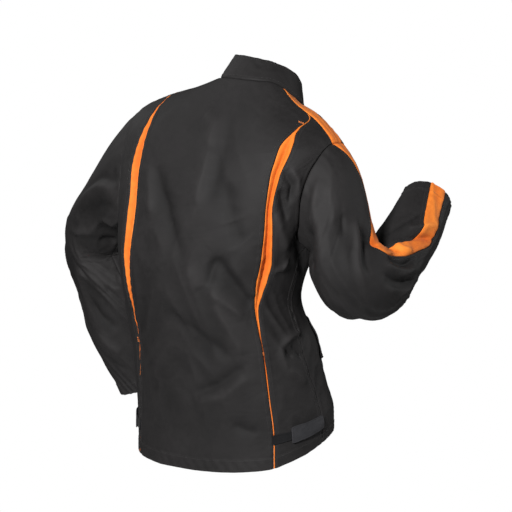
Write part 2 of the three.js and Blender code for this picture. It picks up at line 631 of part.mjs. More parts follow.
// The body panels of one side. side is 1 for the wearer's right.
function makeBodySide(side, name) {
  const mirrored = (edge) => (v) => side * edge(v);
  const ordered = (first, second) => {
    const edges = [mirrored(first), mirrored(second)];
    return side > 0 ? edges : edges.reverse();
  };
  const pleat = (share, v) => pleatDepth * readRows(insertSeam, 'v', v).deep * (1 - Math.abs(2 * share - 1));
  return [
    bodyPanel(`${name}_insert`, brightOrange, insertStart, 1, insertColumns,
      ...ordered((v) => insertEdge(side, v, -1), (v) => insertEdge(side, v, 1)), pleat),
    bodyPanel(`${name}_side_panel`, blackTwill, insertStart, 1, sideColumns,
      ...ordered((v) => insertEdge(side, v, 1), sideFrontEdge)),
    bodyPanel(`${name}_shoulder_stripe`, brightOrange, 0, armholeTop, yokeColumns,
      ...ordered((v) => stripeEdge(v, -1), (v) => stripeEdge(v, 1))),
    bodyPanel(`${name}_front`, blackTwill, 0, 1, frontColumns,
      ...ordered(frontSideEdge, () => 180)),
  ];
}

function makeBack() {
  const edge = (side, v) => (v < insertStart ? stripeEdge(v, -1) : insertEdge(side, v, -1));
  return bodyPanel('back_panel', blackTwill, 0, 1, backColumns, (v) => -edge(-1, v), (v) => edge(1, v));
}

// The stand-up collar, open by a slit at the middle of the front.
function collarPoint(angle, height) {
  const row = readRows(collarRows, 'angle', angle);
  const seam = bodyBase(angle, 0);
  const rim = new THREE.Vector3(
    -collarTopHalfWidth * Math.sin(angle * radians),
    collarTopHalfDepth * Math.cos(angle * radians) - collarLean,
    seam.z + row.height * collarHeight,
  );
  return seam.lerp(rim, height);
}

function makeCollar() {
  const start = (clothThickness / 2 + yokeSeamShare * seamGap) / collarHeight;
  const slit = collarOpening / 2 / (collarTopHalfWidth * radians);
  const places = [start, ...collarLevels].map((height) =>
    Array.from({ length: collarColumns + 1 }, (_, column) => {
      const angle = mix(-180 + slit, 180 - slit, column / collarColumns);
      const inner = Math.min(1 - shareStep, Math.max(shareStep, height));
      const normal = surfaceNormal(collarPoint, angle, inner, angleStep, shareStep);
      return { point: collarPoint(angle, height), normal };
    }));
  return clothMesh('collar', places, blackTwill, collarThickness);
}

// A strip or patch lying on the body: angle and v at its corners, lifted clear of what it lies on.
function bodyPatch(name, finish, rows, columns, angleAt, vAt, thickness, lift) {
  const places = Array.from({ length: rows + 1 }, (_, row) =>
    Array.from({ length: columns + 1 }, (_, column) => {
      const v = vAt(row / rows, column / columns);
      return bodySkin(angleAt(v, column / columns), v);
    }));
  return clothMesh(name, places, finish, thickness, lift);
}

function makePlacket() {
  const lift = clothThickness + seamGap + facetAllowance;
  const half = (v) => placketWidth / 2 / bodyDegree(180, v);
  const angleAt = (v, share) => 180 + mix(-half(v), half(v), share);
  const rows = bodyRows.filter((v) => v > placketDrop);
  const vAt = (share) => rows[Math.round(share * (rows.length - 1))];
  const steps = rows.length - 1;
  return bodyPatch('front_placket', blackTwill, steps, stripeColumns, angleAt, vAt, clothThickness, lift);
}

// The hem's adjusting tab, held at the side seam and closed on its loop strip towards the back.
function makeTab(side, name) {
  const stripLift = clothThickness / 2 + seamGap + facetAllowance + stripThickness / 2;
  const tabLift = stripLift + stripThickness / 2 + seamGap + facetAllowance + tabThickness / 2;
  const stripStart = (1 - stripUnderTab) * tabLength;
  const stripEnd = tabLength + stripShow;
  const degree = bodyDegree(sideEdge(tabDrop), tabDrop);
  const angleAt = (away, v) => side * (sideEdge(v) - away / degree);
  const vAt = (away, up, height) => tabDrop + tabSlope * away / tabLength + (up - 0.5) * height / backLength;
  const tabAngle = (v, share) => angleAt(share * tabLength, v);
  const tabV = (row, column) => vAt(column * tabLength, row, tabHeight);
  const loopAngle = (v, share) => angleAt(mix(stripStart, stripEnd, share), v);
  const loopV = (row, column) => vAt(mix(stripStart, stripEnd, column), row, stripHeight);
  const [strip, patch] = [`${name}_loop_strip`, `${name}_hem_tab`];
  return [
    bodyPatch(strip, hookAndLoop, 1, patchColumns, loopAngle, loopV, stripThickness, stripLift),
    bodyPatch(patch, hookAndLoop, 1, patchColumns, tabAngle, tabV, tabThickness, tabLift),
  ];
}

// The flap of a lower front pocket.
function makeFlap(side, name) {
  const lift = clothThickness + seamGap + flapAllowance;
  const reach = flapWidth / bodyDegree(flapAngle, flapDrop);
  const angleAt = (v, share) => side * (flapAngle + mix(0, reach, share));
  const vAt = (row) => flapDrop + row * flapHeight / backLength;
  return bodyPatch(`${name}_pocket_flap`, blackTwill, 2, patchColumns, angleAt, vAt, clothThickness, lift);
}

const part = new THREE.Group();
part.add(makeBack(), makeCollar(), makePlacket());
for (const pose of armPoses) {
  part.add(...makeBodySide(pose.side, pose.name));
  part.add(...makeSleeve(pose));
  part.add(...makeTab(pose.side, pose.name));
  part.add(makeFlap(pose.side, pose.name));
}

export default part;
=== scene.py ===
# Work jacket as worn: black twill with bright orange inserts and stripes, seen from the back right.
# Sizes are in millimetres until the meshes are made. Up is +Z, the front faces -Y.
import math

import bpy
import numpy as np
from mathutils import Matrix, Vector


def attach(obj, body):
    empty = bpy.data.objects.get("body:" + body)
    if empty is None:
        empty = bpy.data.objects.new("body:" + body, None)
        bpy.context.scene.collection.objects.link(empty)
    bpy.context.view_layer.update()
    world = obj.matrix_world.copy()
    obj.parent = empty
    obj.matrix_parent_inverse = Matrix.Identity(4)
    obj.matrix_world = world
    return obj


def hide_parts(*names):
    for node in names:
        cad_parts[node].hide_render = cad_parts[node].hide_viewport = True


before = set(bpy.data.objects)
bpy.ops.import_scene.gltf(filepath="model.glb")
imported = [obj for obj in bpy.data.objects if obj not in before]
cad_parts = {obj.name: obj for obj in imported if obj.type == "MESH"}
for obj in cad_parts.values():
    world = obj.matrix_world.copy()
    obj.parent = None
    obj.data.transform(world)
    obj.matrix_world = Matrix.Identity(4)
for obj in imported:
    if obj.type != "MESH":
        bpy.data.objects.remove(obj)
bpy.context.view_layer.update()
print("frame loaded:", len(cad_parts), "nodes")

mm = 0.001
fullTurn = 2 * math.pi


def table(columns, *rows):
    return dict(zip(columns.split(), np.array(rows, float).T))


def mix(a, b, share):
    return a + (b - a) * share


def smoothShare(value):
    share = np.clip(value, 0, 1)
    return share * share * (3 - 2 * share)


def bell(distance, width):  # 1 in the middle, fading out on both sides
    return np.exp(-((distance / width) ** 2))


def wrapped(angle):  # the same angle between -180 and 180
    return (np.asarray(angle, float) + 180) % 360 - 180


def readRows(rows, key, at):  # smooth reading between the rows of a table
    at = np.asarray(at, float)
    keys = rows[key]
    last = len(keys) - 1
    row = np.clip(np.searchsorted(keys, at) - 1, 0, last - 1)
    before, after = np.maximum(row - 1, 0), np.minimum(row + 2, last)
    span = keys[row + 1] - keys[row]
    s = np.clip((at - keys[row]) / span, 0, 1)
    values = {}
    for name, column in rows.items():
        startSlope = (column[row + 1] - column[before]) / (keys[row + 1] - keys[before]) * span
        endSlope = (column[after] - column[row]) / (keys[after] - keys[row]) * span
        rise = column[row + 1] - column[row]
        bend = (startSlope - rise) * (1 - s) + (rise - endSlope) * s
        values[name] = column[row] + rise * s + bend * s * (1 - s)
    return values


def unit(vectors):
    return vectors / np.maximum(np.linalg.norm(vectors, axis=-1, keepdims=True), 1e-9)


# Body: rings from the neck seam (v 0) to the hem (v 1), the same shares as the solid model
body = {
    "length": 720, "neckHalfWidth": 70, "neckHalfDepth": 75, "chestHalfWidth": 212, "chestHalfDepth": 142,
    "squareness": 2.35, "flatRadius": 170, "hem": 30, "neckSettled": 0.08, "hemStart": 0.8,
}
cloth = {"thickness": 1.6, "spacing": 3.3}
bodyRings = table(
    "v width back front sideDrop backDrop frontDrop sway lean tilt twist",
    (0.00, 0.000, 0.000, 0.000, 0.009, -0.008, 0.112, 0.000, 0.000, -0.006, 0.0),
    (0.05, 0.280, 0.190, 0.080, 0.038, 0.030, 0.168, 0.040, 0.070, -0.016, 1.8),
    (0.10, 0.670, 0.450, 0.260, 0.072, 0.084, 0.190, 0.080, 0.150, -0.026, 3.6),
    (0.16, 1.000, 0.750, 0.500, 0.112, 0.160, 0.235, 0.130, 0.230, -0.028, 5.4),
    (0.22, 1.060, 0.920, 0.660, 0.170, 0.232, 0.285, 0.170, 0.300, -0.022, 6.6),
    (0.30, 1.010, 1.000, 0.780, 0.250, 0.308, 0.340, 0.200, 0.380, -0.015, 9.3),
    (0.40, 0.900, 1.000, 0.800, 0.382, 0.400, 0.410, 0.236, 0.470, -0.010, 12.3),
    (0.48, 0.780, 0.930, 0.660, 0.470, 0.478, 0.475, 0.262, 0.530, -0.006, 13.3),
    (0.54, 0.735, 0.840, 0.520, 0.535, 0.540, 0.535, 0.264, 0.535, -0.003, 12.3),
    (0.60, 0.785, 0.800, 0.470, 0.598, 0.600, 0.593, 0.243, 0.470, 0.000, 10.5),
    (0.66, 0.825, 0.840, 0.520, 0.657, 0.660, 0.645, 0.215, 0.395, 0.003, 9.0),
    (0.78, 0.845, 0.910, 0.640, 0.770, 0.778, 0.745, 0.175, 0.325, 0.010, 5.5),
    (0.88, 0.885, 0.960, 0.700, 0.850, 0.875, 0.805, 0.155, 0.270, 0.018, 3.0),
    (1.00, 0.880, 1.000, 0.720, 0.938, 0.975, 0.865, 0.150, 0.270, 0.022, 2.0),
)
neckDrops = table(  # how far the neck seam hangs below its ring
    "angle drop",
    (-180, 0.000), (-60, -0.003), (0, 0.000), (35, -0.005), (50, -0.008), (65, -0.001),
    (80, 0.014), (95, 0.0275), (110, 0.0287), (135, 0.016), (180, 0.000),
)
hemDrops = table(  # the same for the hem
    "angle drop",
    (-180, 0.000), (-90, 0.006), (-60, 0.005), (-45, 0.000), (-30, -0.004), (-10, -0.009), (10, -0.007),
    (30, -0.001), (48, 0.004), (60, -0.002), (75, -0.010), (90, -0.022), (105, -0.027), (125, -0.012),
    (180, 0.000),
)

# Seams on the body, in degrees round it (0 the centre back, 90 a side)
seams = {
    "armholeTop": 0.16, "armholeBottom": 0.40, "armholeTopAngle": 88, "armholeBottomAngle": 80,
    "armholeBackAngle": 25, "armholeFrontAngle": 28, "stripeTurn": 11.5, "stripeSettled": 0.125,
    "stripeWidth": 32, "insertWidth": 27, "insertStart": 0.075, "insertTurn": 0.105, "insertGap": 1,
    "pleatDepth": 9, "pleatPower": 1.2,
}
stripeSeam = table(
    "v angle width",
    (0.00, 81.0, 1.30), (0.03, 83.5, 1.05), (0.055, 86.5, 1.00), (0.08, 90.5, 1.00),
    (0.10, 91.5, 1.00), (0.13, 89.5, 1.00), (0.16, 88.0, 1.00),
)
insertSeam = table(
    "v angle openRight openLeft deep",
    (0.075, 66.0, 0.10, 0.10, 0.0), (0.100, 59.7, 0.14, 0.14, 0.0), (0.120, 50.9, 0.30, 0.20, 0.1),
    (0.140, 45.5, 0.75, 0.30, 0.5), (0.160, 42.6, 0.85, 0.45, 0.8), (0.190, 40.7, 0.75, 0.65, 1.0),
    (0.220, 40.0, 0.62, 0.80, 1.0), (0.300, 40.1, 0.42, 0.80, 1.0), (0.350, 41.9, 0.50, 0.80, 1.0),
    (0.400, 44.1, 0.66, 0.80, 1.0), (0.440, 46.4, 0.80, 0.75, 1.0), (0.480, 47.0, 0.72, 0.55, 0.8),
    (0.540, 46.3, 0.24, 0.35, 0.3), (0.600, 43.9, 0.08, 0.10, 0.3), (0.625, 43.4, 0.04, 0.04, 0.5),
    (0.660, 43.0, 0.04, 0.04, 0.5), (0.700, 43.7, 0.06, 0.04, 0.2), (0.780, 45.5, 0.06, 0.04, 0.1),
    (1.000, 48.7, 0.08, 0.05, 0.0),
)
sideSeam = table(
    "v angle",
    (0.40, 80.0), (0.60, 77.5), (0.66, 75.5), (0.72, 79.0), (0.78, 84.0), (0.88, 86.5), (1.00, 88.0),
)

# Folds: three places along each crest (degrees round, share down), half width, height (valleys are
# negative) and lean, the share by which one flank is steeper
bodyFolds = table(
    "a1 v1 a2 v2 a3 v3 width height lean",
    (-9, 0.096, 0, 0.112, 2, 0.151, 9, 3.5, 0.0),  # ridge between the shoulders
    (2, 0.151, 3, 0.203, 2, 0.281, 9, 4.0, 0.3),
    (9, 0.137, 10, 0.193, 9, 0.263, 11, -2.5, 0.0),
    (15, 0.218, 18, 0.264, 22, 0.320, 12, -3.5, 0.0),
    (22, 0.320, 25, 0.353, 29, 0.374, 11, -3.5, 0.0),
    (-30, 0.212, -27, 0.267, -26, 0.324, 7, 3.5, 0.0),  # beside the left insert
    (-25, 0.206, -17, 0.279, -5, 0.417, 12, -4.5, 0.2),
    (16, 0.408, 15, 0.441, 15, 0.482, 8, -4.5, 0.0),  # upturned V above the waist
    (16, 0.408, 27, 0.463, 43, 0.534, 11, -6.0, 0.2),
    (22, 0.420, 35, 0.470, 45, 0.505, 8, 3.0, 0.0),
    (16, 0.499, 26, 0.522, 37, 0.558, 7, 4.0, 0.0),
    (0, 0.442, 5, 0.465, 10, 0.493, 14, 3.0, 0.0),
    (-17, 0.550, 4, 0.607, 24, 0.665, 14, -5.0, 0.2),  # band across the waist
    (19, 0.526, 26, 0.586, 30, 0.656, 9, 4.0, 0.0),
    (30, 0.686, 17, 0.736, 0, 0.770, 9, -4.5, 0.0),
    (32, 0.717, 18, 0.773, 0, 0.792, 9, 3.0, 0.0),
    (24, 0.845, 31, 0.864, 38, 0.876, 9, -3.0, 0.0),
    (44, 0.206, 51, 0.253, 52, 0.299, 5, -5.0, 0.0),  # hook behind the right armhole
    (48, 0.202, 54, 0.239, 57, 0.297, 6, 3.5, 0.0),
    (44, 0.254, 48, 0.301, 52, 0.338, 6, -5.0, 0.0),
    (63, 0.362, 73, 0.407, 90, 0.468, 9, -8.0, 0.0),
    (45, 0.314, 50, 0.359, 58, 0.400, 9, 5.0, 0.0),
    (53, 0.448, 59, 0.443, 62, 0.423, 4, 4.0, 0.0),
    (79, 0.612, 67, 0.619, 56, 0.640, 5, 4.5, 0.0),  # tucks at the right of the waist
    (56, 0.640, 56, 0.670, 59, 0.701, 5, 3.0, 0.0),
    (59, 0.701, 67, 0.722, 75, 0.751, 5, 3.5, 0.0),
    (58, 0.652, 61, 0.661, 64, 0.674, 5, -4.0, 0.0),
    (65, 0.642, 69, 0.661, 73, 0.685, 5, -3.5, 0.0),
)


crest = {"gain": 1.5, "fall": 1.2, "roundness": 0.5, "endLoss": 0.75}  # the section of every fold


def foldHeights(folds, x, y, flatten):  # x, y in mm on the flat; flatten turns a place into mm
    total = np.zeros(np.broadcast(x, y).shape)
    for row in zip(*folds.values()):
        fold = dict(zip(folds, row))
        points = [flatten(fold[f"a{i}"], fold[f"v{i}"]) for i in (1, 2, 3)]
        best = np.full(total.shape, np.inf)
        along = np.zeros(total.shape)
        sideways = np.zeros(total.shape)
        for step in (0, 1):
            (x1, y1), (x2, y2) = points[step], points[step + 1]
            lineX, lineY = x2 - x1, y2 - y1
            share = np.clip(((x - x1) * lineX + (y - y1) * lineY) / (lineX**2 + lineY**2), 0, 1)
            offX, offY = x - x1 - share * lineX, y - y1 - share * lineY
            reach = np.hypot(offX, offY)
            near = reach < best
            best = np.where(near, reach, best)
            along = np.where(near, (step + share) / 2, along)
            sideways = np.where(near, np.sign(lineX * offY - lineY * offX), sideways)
        reach = best / (fold["width"] * (1 + fold["lean"] * sideways))
        taper = 1 - crest["endLoss"] * (2 * along - 1) ** 4
        fall = crest["fall"] * (np.sqrt(reach**2 + crest["roundness"]) - math.sqrt(crest["roundness"]))
        total += crest["gain"] * fold["height"] * taper * np.exp(-fall)
    return total


crease = {"waves": 7, "shortest": 0.75, "longest": 1.45, "bend": 0.25, "bendSize": 1.7, "level": 0.75,
          "roundness": 0.04}


def waves(x, y, size, seed):  # smooth seeded waves of about one size, rms about 1
    rng = np.random.default_rng(seed)
    total = np.zeros(np.broadcast(x, y).shape)
    lowest, highest = (0, crease["shortest"], 0), (math.pi, crease["longest"], fullTurn)
    for turn, stretch, shift in rng.uniform(lowest, highest, (crease["waves"], 3)):
        total += np.sin((x * math.cos(turn) + y * math.sin(turn)) * fullTurn / (size * stretch) + shift)
    return total / math.sqrt(crease["waves"] / 2)


def creases(x, y, size, seed):  # crisp crests between soft hollows
    wander, wanderSize = crease["bend"] * size, crease["bendSize"] * size
    bentX = x + wander * waves(x, y, wanderSize, seed + 11)
    bentY = y + wander * waves(x, y, wanderSize, seed + 12)
    return crease["level"] - np.sqrt(waves(bentX, bentY, size, seed) ** 2 + crease["roundness"])


def bodyBase(angle, v):
    angle, v = np.broadcast_arrays(np.asarray(angle, float), np.asarray(v, float))
    ring = readRows(bodyRings, "v", v)
    turn = np.radians(angle + ring["twist"])
    sine, cosine = np.sin(turn), np.cos(turn)
    powers = np.abs(sine) ** body["squareness"] + np.abs(cosine) ** body["squareness"]
    reach = powers ** (-1 / body["squareness"])
    halfWidth = mix(body["neckHalfWidth"], body["chestHalfWidth"], ring["width"])
    depthShare = np.where(cosine > 0, ring["back"], ring["front"])
    halfDepth = mix(body["neckHalfDepth"], body["chestHalfDepth"], depthShare)
    endDrop = np.where(cosine > 0, ring["backDrop"], ring["frontDrop"])
    around = wrapped(angle)
    hang = readRows(neckDrops, "angle", around)["drop"] * (1 - smoothShare(v / body["neckSettled"]))
    hemShare = smoothShare((v - body["hemStart"]) / (1 - body["hemStart"]))
    hang = hang + readRows(hemDrops, "angle", around)["drop"] * hemShare
    drop = mix(ring["sideDrop"], endDrop, cosine**2) - ring["tilt"] * sine + hang
    return np.stack((
        ring["sway"] * body["chestHalfWidth"] - halfWidth * sine * reach,
        ring["lean"] * body["chestHalfDepth"] + halfDepth * cosine * reach,
        -drop * body["length"],
    ), -1)


def surfaceNormal(surface, a, b, stepA, stepB):
    alongA = surface(a + stepA, b) - surface(a - stepA, b)
    alongB = surface(a, b + stepB) - surface(a, b - stepB)
    return unit(np.cross(alongA, alongB))


def bodyFlat(angle, v):
    return np.radians(angle) * body["flatRadius"], np.asarray(v, float) * body["length"]


bodyCrumple = {  # creases between the folds: heights and sizes
    "broad": 0.8, "broadSize": 85, "broadSquash": 0.7, "fine": 0.15, "fineSize": 30, "fineSquash": 0.8,
    "fineAtSides": 60, "neckSettled": 0.12, "waistAt": 0.6, "waistReach": 0.14, "waistMore": 0.8,
}


def bodyRelief(angle, v):
    angle = wrapped(angle)
    x, y = bodyFlat(angle, v)
    waist = 1 + bodyCrumple["waistMore"] * bell(v - bodyCrumple["waistAt"], bodyCrumple["waistReach"])
    sides = 0.5 + smoothShare(np.abs(angle) / bodyCrumple["fineAtSides"])
    broad = creases(x, y * bodyCrumple["broadSquash"], bodyCrumple["broadSize"], 3) * bodyCrumple["broad"]
    fine = creases(x * bodyCrumple["fineSquash"], y, bodyCrumple["fineSize"], 8) * bodyCrumple["fine"]
    settled = smoothShare(v / bodyCrumple["neckSettled"])
    return foldHeights(bodyFolds, x, y, bodyFlat) + (broad * waist + fine * sides) * settled


def bodySkin(angle, v):
    inner = np.clip(v, 0.001, 0.999)
    normal = -surfaceNormal(bodyBase, angle, inner, 0.5, 0.001)
    return bodyBase(angle, v) + normal * bodyRelief(angle, v)[..., None], normal


def bodyDegree(angle, v):
    return np.linalg.norm(bodyBase(angle + 0.5, v) - bodyBase(angle - 0.5, v), axis=-1)


def armholePlace(turn):  # turn is 0 at the top, 90 at the back, 180 below and -90 at the front
    stripeAngle = seams["stripeWidth"] / 2 / bodyDegree(seams["armholeTopAngle"], seams["armholeTop"])
    away = np.abs(turn)
    way = np.clip((away - seams["stripeTurn"]) / (180 - seams["stripeTurn"]), 0, 1)
    middle = mix(seams["armholeTopAngle"], seams["armholeBottomAngle"], way)
    reach = np.where(turn > 0, seams["armholeBackAngle"], seams["armholeFrontAngle"])
    offset = stripeAngle * (1 - way) + (reach - stripeAngle / 2) * np.sin(way * np.pi)
    v = mix(seams["armholeTop"], seams["armholeBottom"], (1 - np.cos(way * np.pi)) / 2)
    onTop = away <= seams["stripeTurn"]
    topAngle = seams["armholeTopAngle"] - stripeAngle * turn / seams["stripeTurn"]
    return np.where(onTop, topAngle, middle - np.sign(turn) * offset), v


def stripeEdge(v, ahead):
    row = readRows(stripeSeam, "v", v)
    return row["angle"] + ahead * row["width"] * seams["stripeWidth"] / 2 / bodyDegree(row["angle"], v)


def insertEdge(side, v, ahead):
    row = readRows(insertSeam, "v", v)
    opened = row["openRight" if side > 0 else "openLeft"]
    half = opened * seams["insertWidth"] / 2 / bodyDegree(row["angle"], v)
    settled = smoothShare((v - seams["insertStart"]) / (seams["insertTurn"] - seams["insertStart"]))
    start = stripeEdge(v, -1) - half - seams["insertGap"]
    return mix(start, row["angle"], settled) + ahead * half


def armholeEdge(v, ahead):
    depth = np.clip((v - seams["armholeTop"]) / (seams["armholeBottom"] - seams["armholeTop"]), 0, 1)
    way = np.arccos(1 - 2 * depth) / np.pi
    return armholePlace(-ahead * mix(seams["stripeTurn"], 180, way))[0]


def outerEdge(v, ahead):  # where the side panel (-1) or the front (1) ends towards the sleeve
    below = readRows(sideSeam, "v", v)["angle"]
    beside = np.where(v < seams["armholeBottom"], armholeEdge(v, ahead), below)
    return np.where(v < seams["armholeTop"], stripeEdge(v, ahead), beside)


# Mesh makers: a closed sheet with rounded edges over a grid of places, closer together beside a seam
rimSteps = np.array([0, 0.3, 0.8, 1.6, 2.8, 4.2, 6.0, 8.0])
endSteps = np.array([0, 0.4, 1.0, 1.8, 3.0, 4.5, 6.0])
narrowPanel = {"rim": 20, "settled": 14, "body": 0.25, "sleeve": 0.35}  # less room for what a seam does


def seamColumns(width):  # distances from one seam to the other, a row for each width
    near = rimSteps[None, :] * np.minimum(1, width[:, None] / narrowPanel["rim"])
    middle = max(int((width.max() - 2 * rimSteps[-1]) / cloth["spacing"]), 2)
    shares = np.linspace(0, 1, middle + 2)[None, 1:-1]
    inside = near[:, -1:] + (width[:, None] - 2 * near[:, -1:]) * shares
    return np.concatenate((near, inside, width[:, None] - near[:, ::-1]), 1)


def stepsAlong(length, near, first, count):
    return np.concatenate((near, np.linspace(first, length - first, count), length - near[::-1]))


def fromEdge(across, down):  # distance to the nearest edge of the grid
    rows = np.minimum(down - down[0], down[-1] - down)
    return np.minimum(np.minimum(across, across[:, -1:] - across), rows)


def clothPiece(name, middle, normal, fromRim, thickness, flat, finish, fold, lift=0.0):
    rows, columns = middle.shape[:2]
    roundness = np.clip(fromRim / (thickness / 2), 0, 1)
    half = thickness / 2 * np.sqrt(1 - (1 - roundness) ** 2)
    outside = middle + normal * (lift + half)[..., None]
    inside = middle + normal * (lift - half)[..., None]
    front = np.arange(rows * columns).reshape(rows, columns)
    back = front.copy()
    back[1:-1, 1:-1] = rows * columns + np.arange((rows - 2) * (columns - 2)).reshape(rows - 2, columns - 2)
    points = np.concatenate((outside.reshape(-1, 3), inside[1:-1, 1:-1].reshape(-1, 3))) * mm

    def quads(index):
        corners = (index[:-1, :-1], index[:-1, 1:], index[1:, 1:], index[1:, :-1])
        return np.stack([c.ravel() for c in corners], -1)

    outerFaces, innerFaces = quads(front), quads(back)[:, ::-1]
    a, b, c = (outside.reshape(-1, 3)[outerFaces[:, i]] for i in (0, 1, 2))
    facing = (np.cross(b - a, c - a) * normal.reshape(-1, 3)[outerFaces[:, 0]]).sum()
    faces = np.concatenate((outerFaces, innerFaces))
    if facing < 0:
        faces = faces[:, ::-1]
    mesh = bpy.data.meshes.new(name + "_cloth")
    mesh.from_pydata(points.tolist(), [], faces.tolist())
    mesh.shade_smooth()
    flatAll = np.concatenate((flat.reshape(-1, 2), flat[1:-1, 1:-1].reshape(-1, 2))) * mm
    corner = np.empty(len(mesh.loops), dtype=np.int32)
    mesh.loops.foreach_get("vertex_index", corner)
    mesh.uv_layers.new(name="cloth").data.foreach_set("uv", flatAll[corner].ravel())
    # the fold height, which the materials paint as shade in hollows and as highlight on ridges
    foldAll = np.concatenate((fold.ravel(), fold[1:-1, 1:-1].ravel()))
    mesh.attributes.new("fold", "FLOAT", "POINT").data.foreach_set("value", foldAll.astype(np.float32))
    piece = bpy.data.objects.new(name + "_cloth", mesh)
    bpy.context.collection.objects.link(piece)
    mesh.materials.append(materials[finish])
    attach(piece, "root")
    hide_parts(name)


seamShape = {  # beside a seam: the dip, the lapped edge, its stitch row and the puckers
    "dip": 1.1, "dipWidth": 1.4, "endDipWidth": 1.6, "lap": 0.45, "lapRise": 1.5, "lapWidth": 7,
    "lapFall": 2.5, "stitchAt": 2.6, "stitchSink": 0.3, "stitchWidth": 0.8, "pucker": 0.55,
    "puckerPitch": 15, "puckerReach": 8, "wander": 2.2, "wanderLength": 37, "least": 0.55,
    "strengthLength": 61,
}


def seamRelief(distance, along, seed):
    shape = seamShape
    dip = -shape["dip"] * bell(distance, shape["dipWidth"])
    lapEnd = smoothShare((distance - shape["lapWidth"]) / shape["lapFall"])
    lapped = shape["lap"] * (smoothShare(distance / shape["lapRise"]) - lapEnd)
    stitched = -shape["stitchSink"] * bell(distance - shape["stitchAt"], shape["stitchWidth"])
    strength = shape["least"] + (1 - shape["least"]) * np.sin(along / shape["strengthLength"] + seed)
    wander = shape["wander"] * np.sin(along / shape["wanderLength"] + seed * 2)
    pucker = shape["pucker"] * strength * np.sin(along * fullTurn / shape["puckerPitch"] + wander)
    return dip + lapped + stitched + pucker * np.exp(-distance / shape["puckerReach"])


# Cloth finishes
finishes = {
    "twill": {"dark": (0.0072, 0.0067, 0.0068), "faded": (0.019, 0.0176, 0.0178), "pitch": 0.0011,
              "weave": 0.35, "bump": 0.30, "roughness": 0.72, "specular": 0.2, "sheen": 0.0,
              "sheenRoughness": 0.5},
    # the orange's dark end is its colour in shade, and the fold height pulls hollows towards it: painted
    # shade
    "orange": {"dark": (0.52, 0.095, 0.006), "faded": (0.82, 0.25, 0.032), "pitch": 0.0011, "weave": 0.22,
               "bump": 0.25, "roughness": 0.78, "specular": 0.25, "sheen": 0.03, "sheenRoughness": 0.45},
    "tape": {"dark": (0.016, 0.016, 0.018), "faded": (0.034, 0.034, 0.0375), "pitch": 0.0024, "weave": 0.3,
             "bump": 0.4, "roughness": 0.7, "specular": 0.22, "sheen": 0.0, "sheenRoughness": 0.5},
    "hookAndLoop": {"dark": (0.005, 0.005, 0.0055), "faded": (0.014, 0.014, 0.015), "pitch": 0.0019,
                    "weave": 0.5, "bump": 0.5, "roughness": 0.92, "specular": 0.1, "sheen": 0.02,
                    "sheenRoughness": 0.6},
    "thread": {"dark": (0.012, 0.011, 0.011), "faded": (0.03, 0.028, 0.028), "pitch": 0.0006, "weave": 0.4,
               "bump": 0.2, "roughness": 0.6, "specular": 0.3, "sheen": 0.1, "sheenRoughness": 0.4},
    "orangeThread": {"dark": (0.55, 0.12, 0.02), "faded": (0.8, 0.25, 0.05), "pitch": 0.0006, "weave": 0.4,
                     "bump": 0.2, "roughness": 0.6, "specular": 0.3, "sheen": 0.1, "sheenRoughness": 0.4},
}
pattern = {  # what the finishes share: scales of the textures and how far each one fades the colour
    "lineScale": 0.444, "lineWander": 1.2, "fibreScale": 1400, "patchScale": 9, "speckleScale": 110,
    # the fold's share: ridges lighter and hollows darker with the fold height, painted highlight and painted
    # shade with a little real wear on ridges
    "foldWearAndShade": 0.055, "patchFade": 1.1, "speckleFade": 0.5, "fade": 0.45, "roughnessRange": 0.16,
    "lineHeight": 0.6, "fibreHeight": 0.5, "bumpDistance": 0.0004,
}


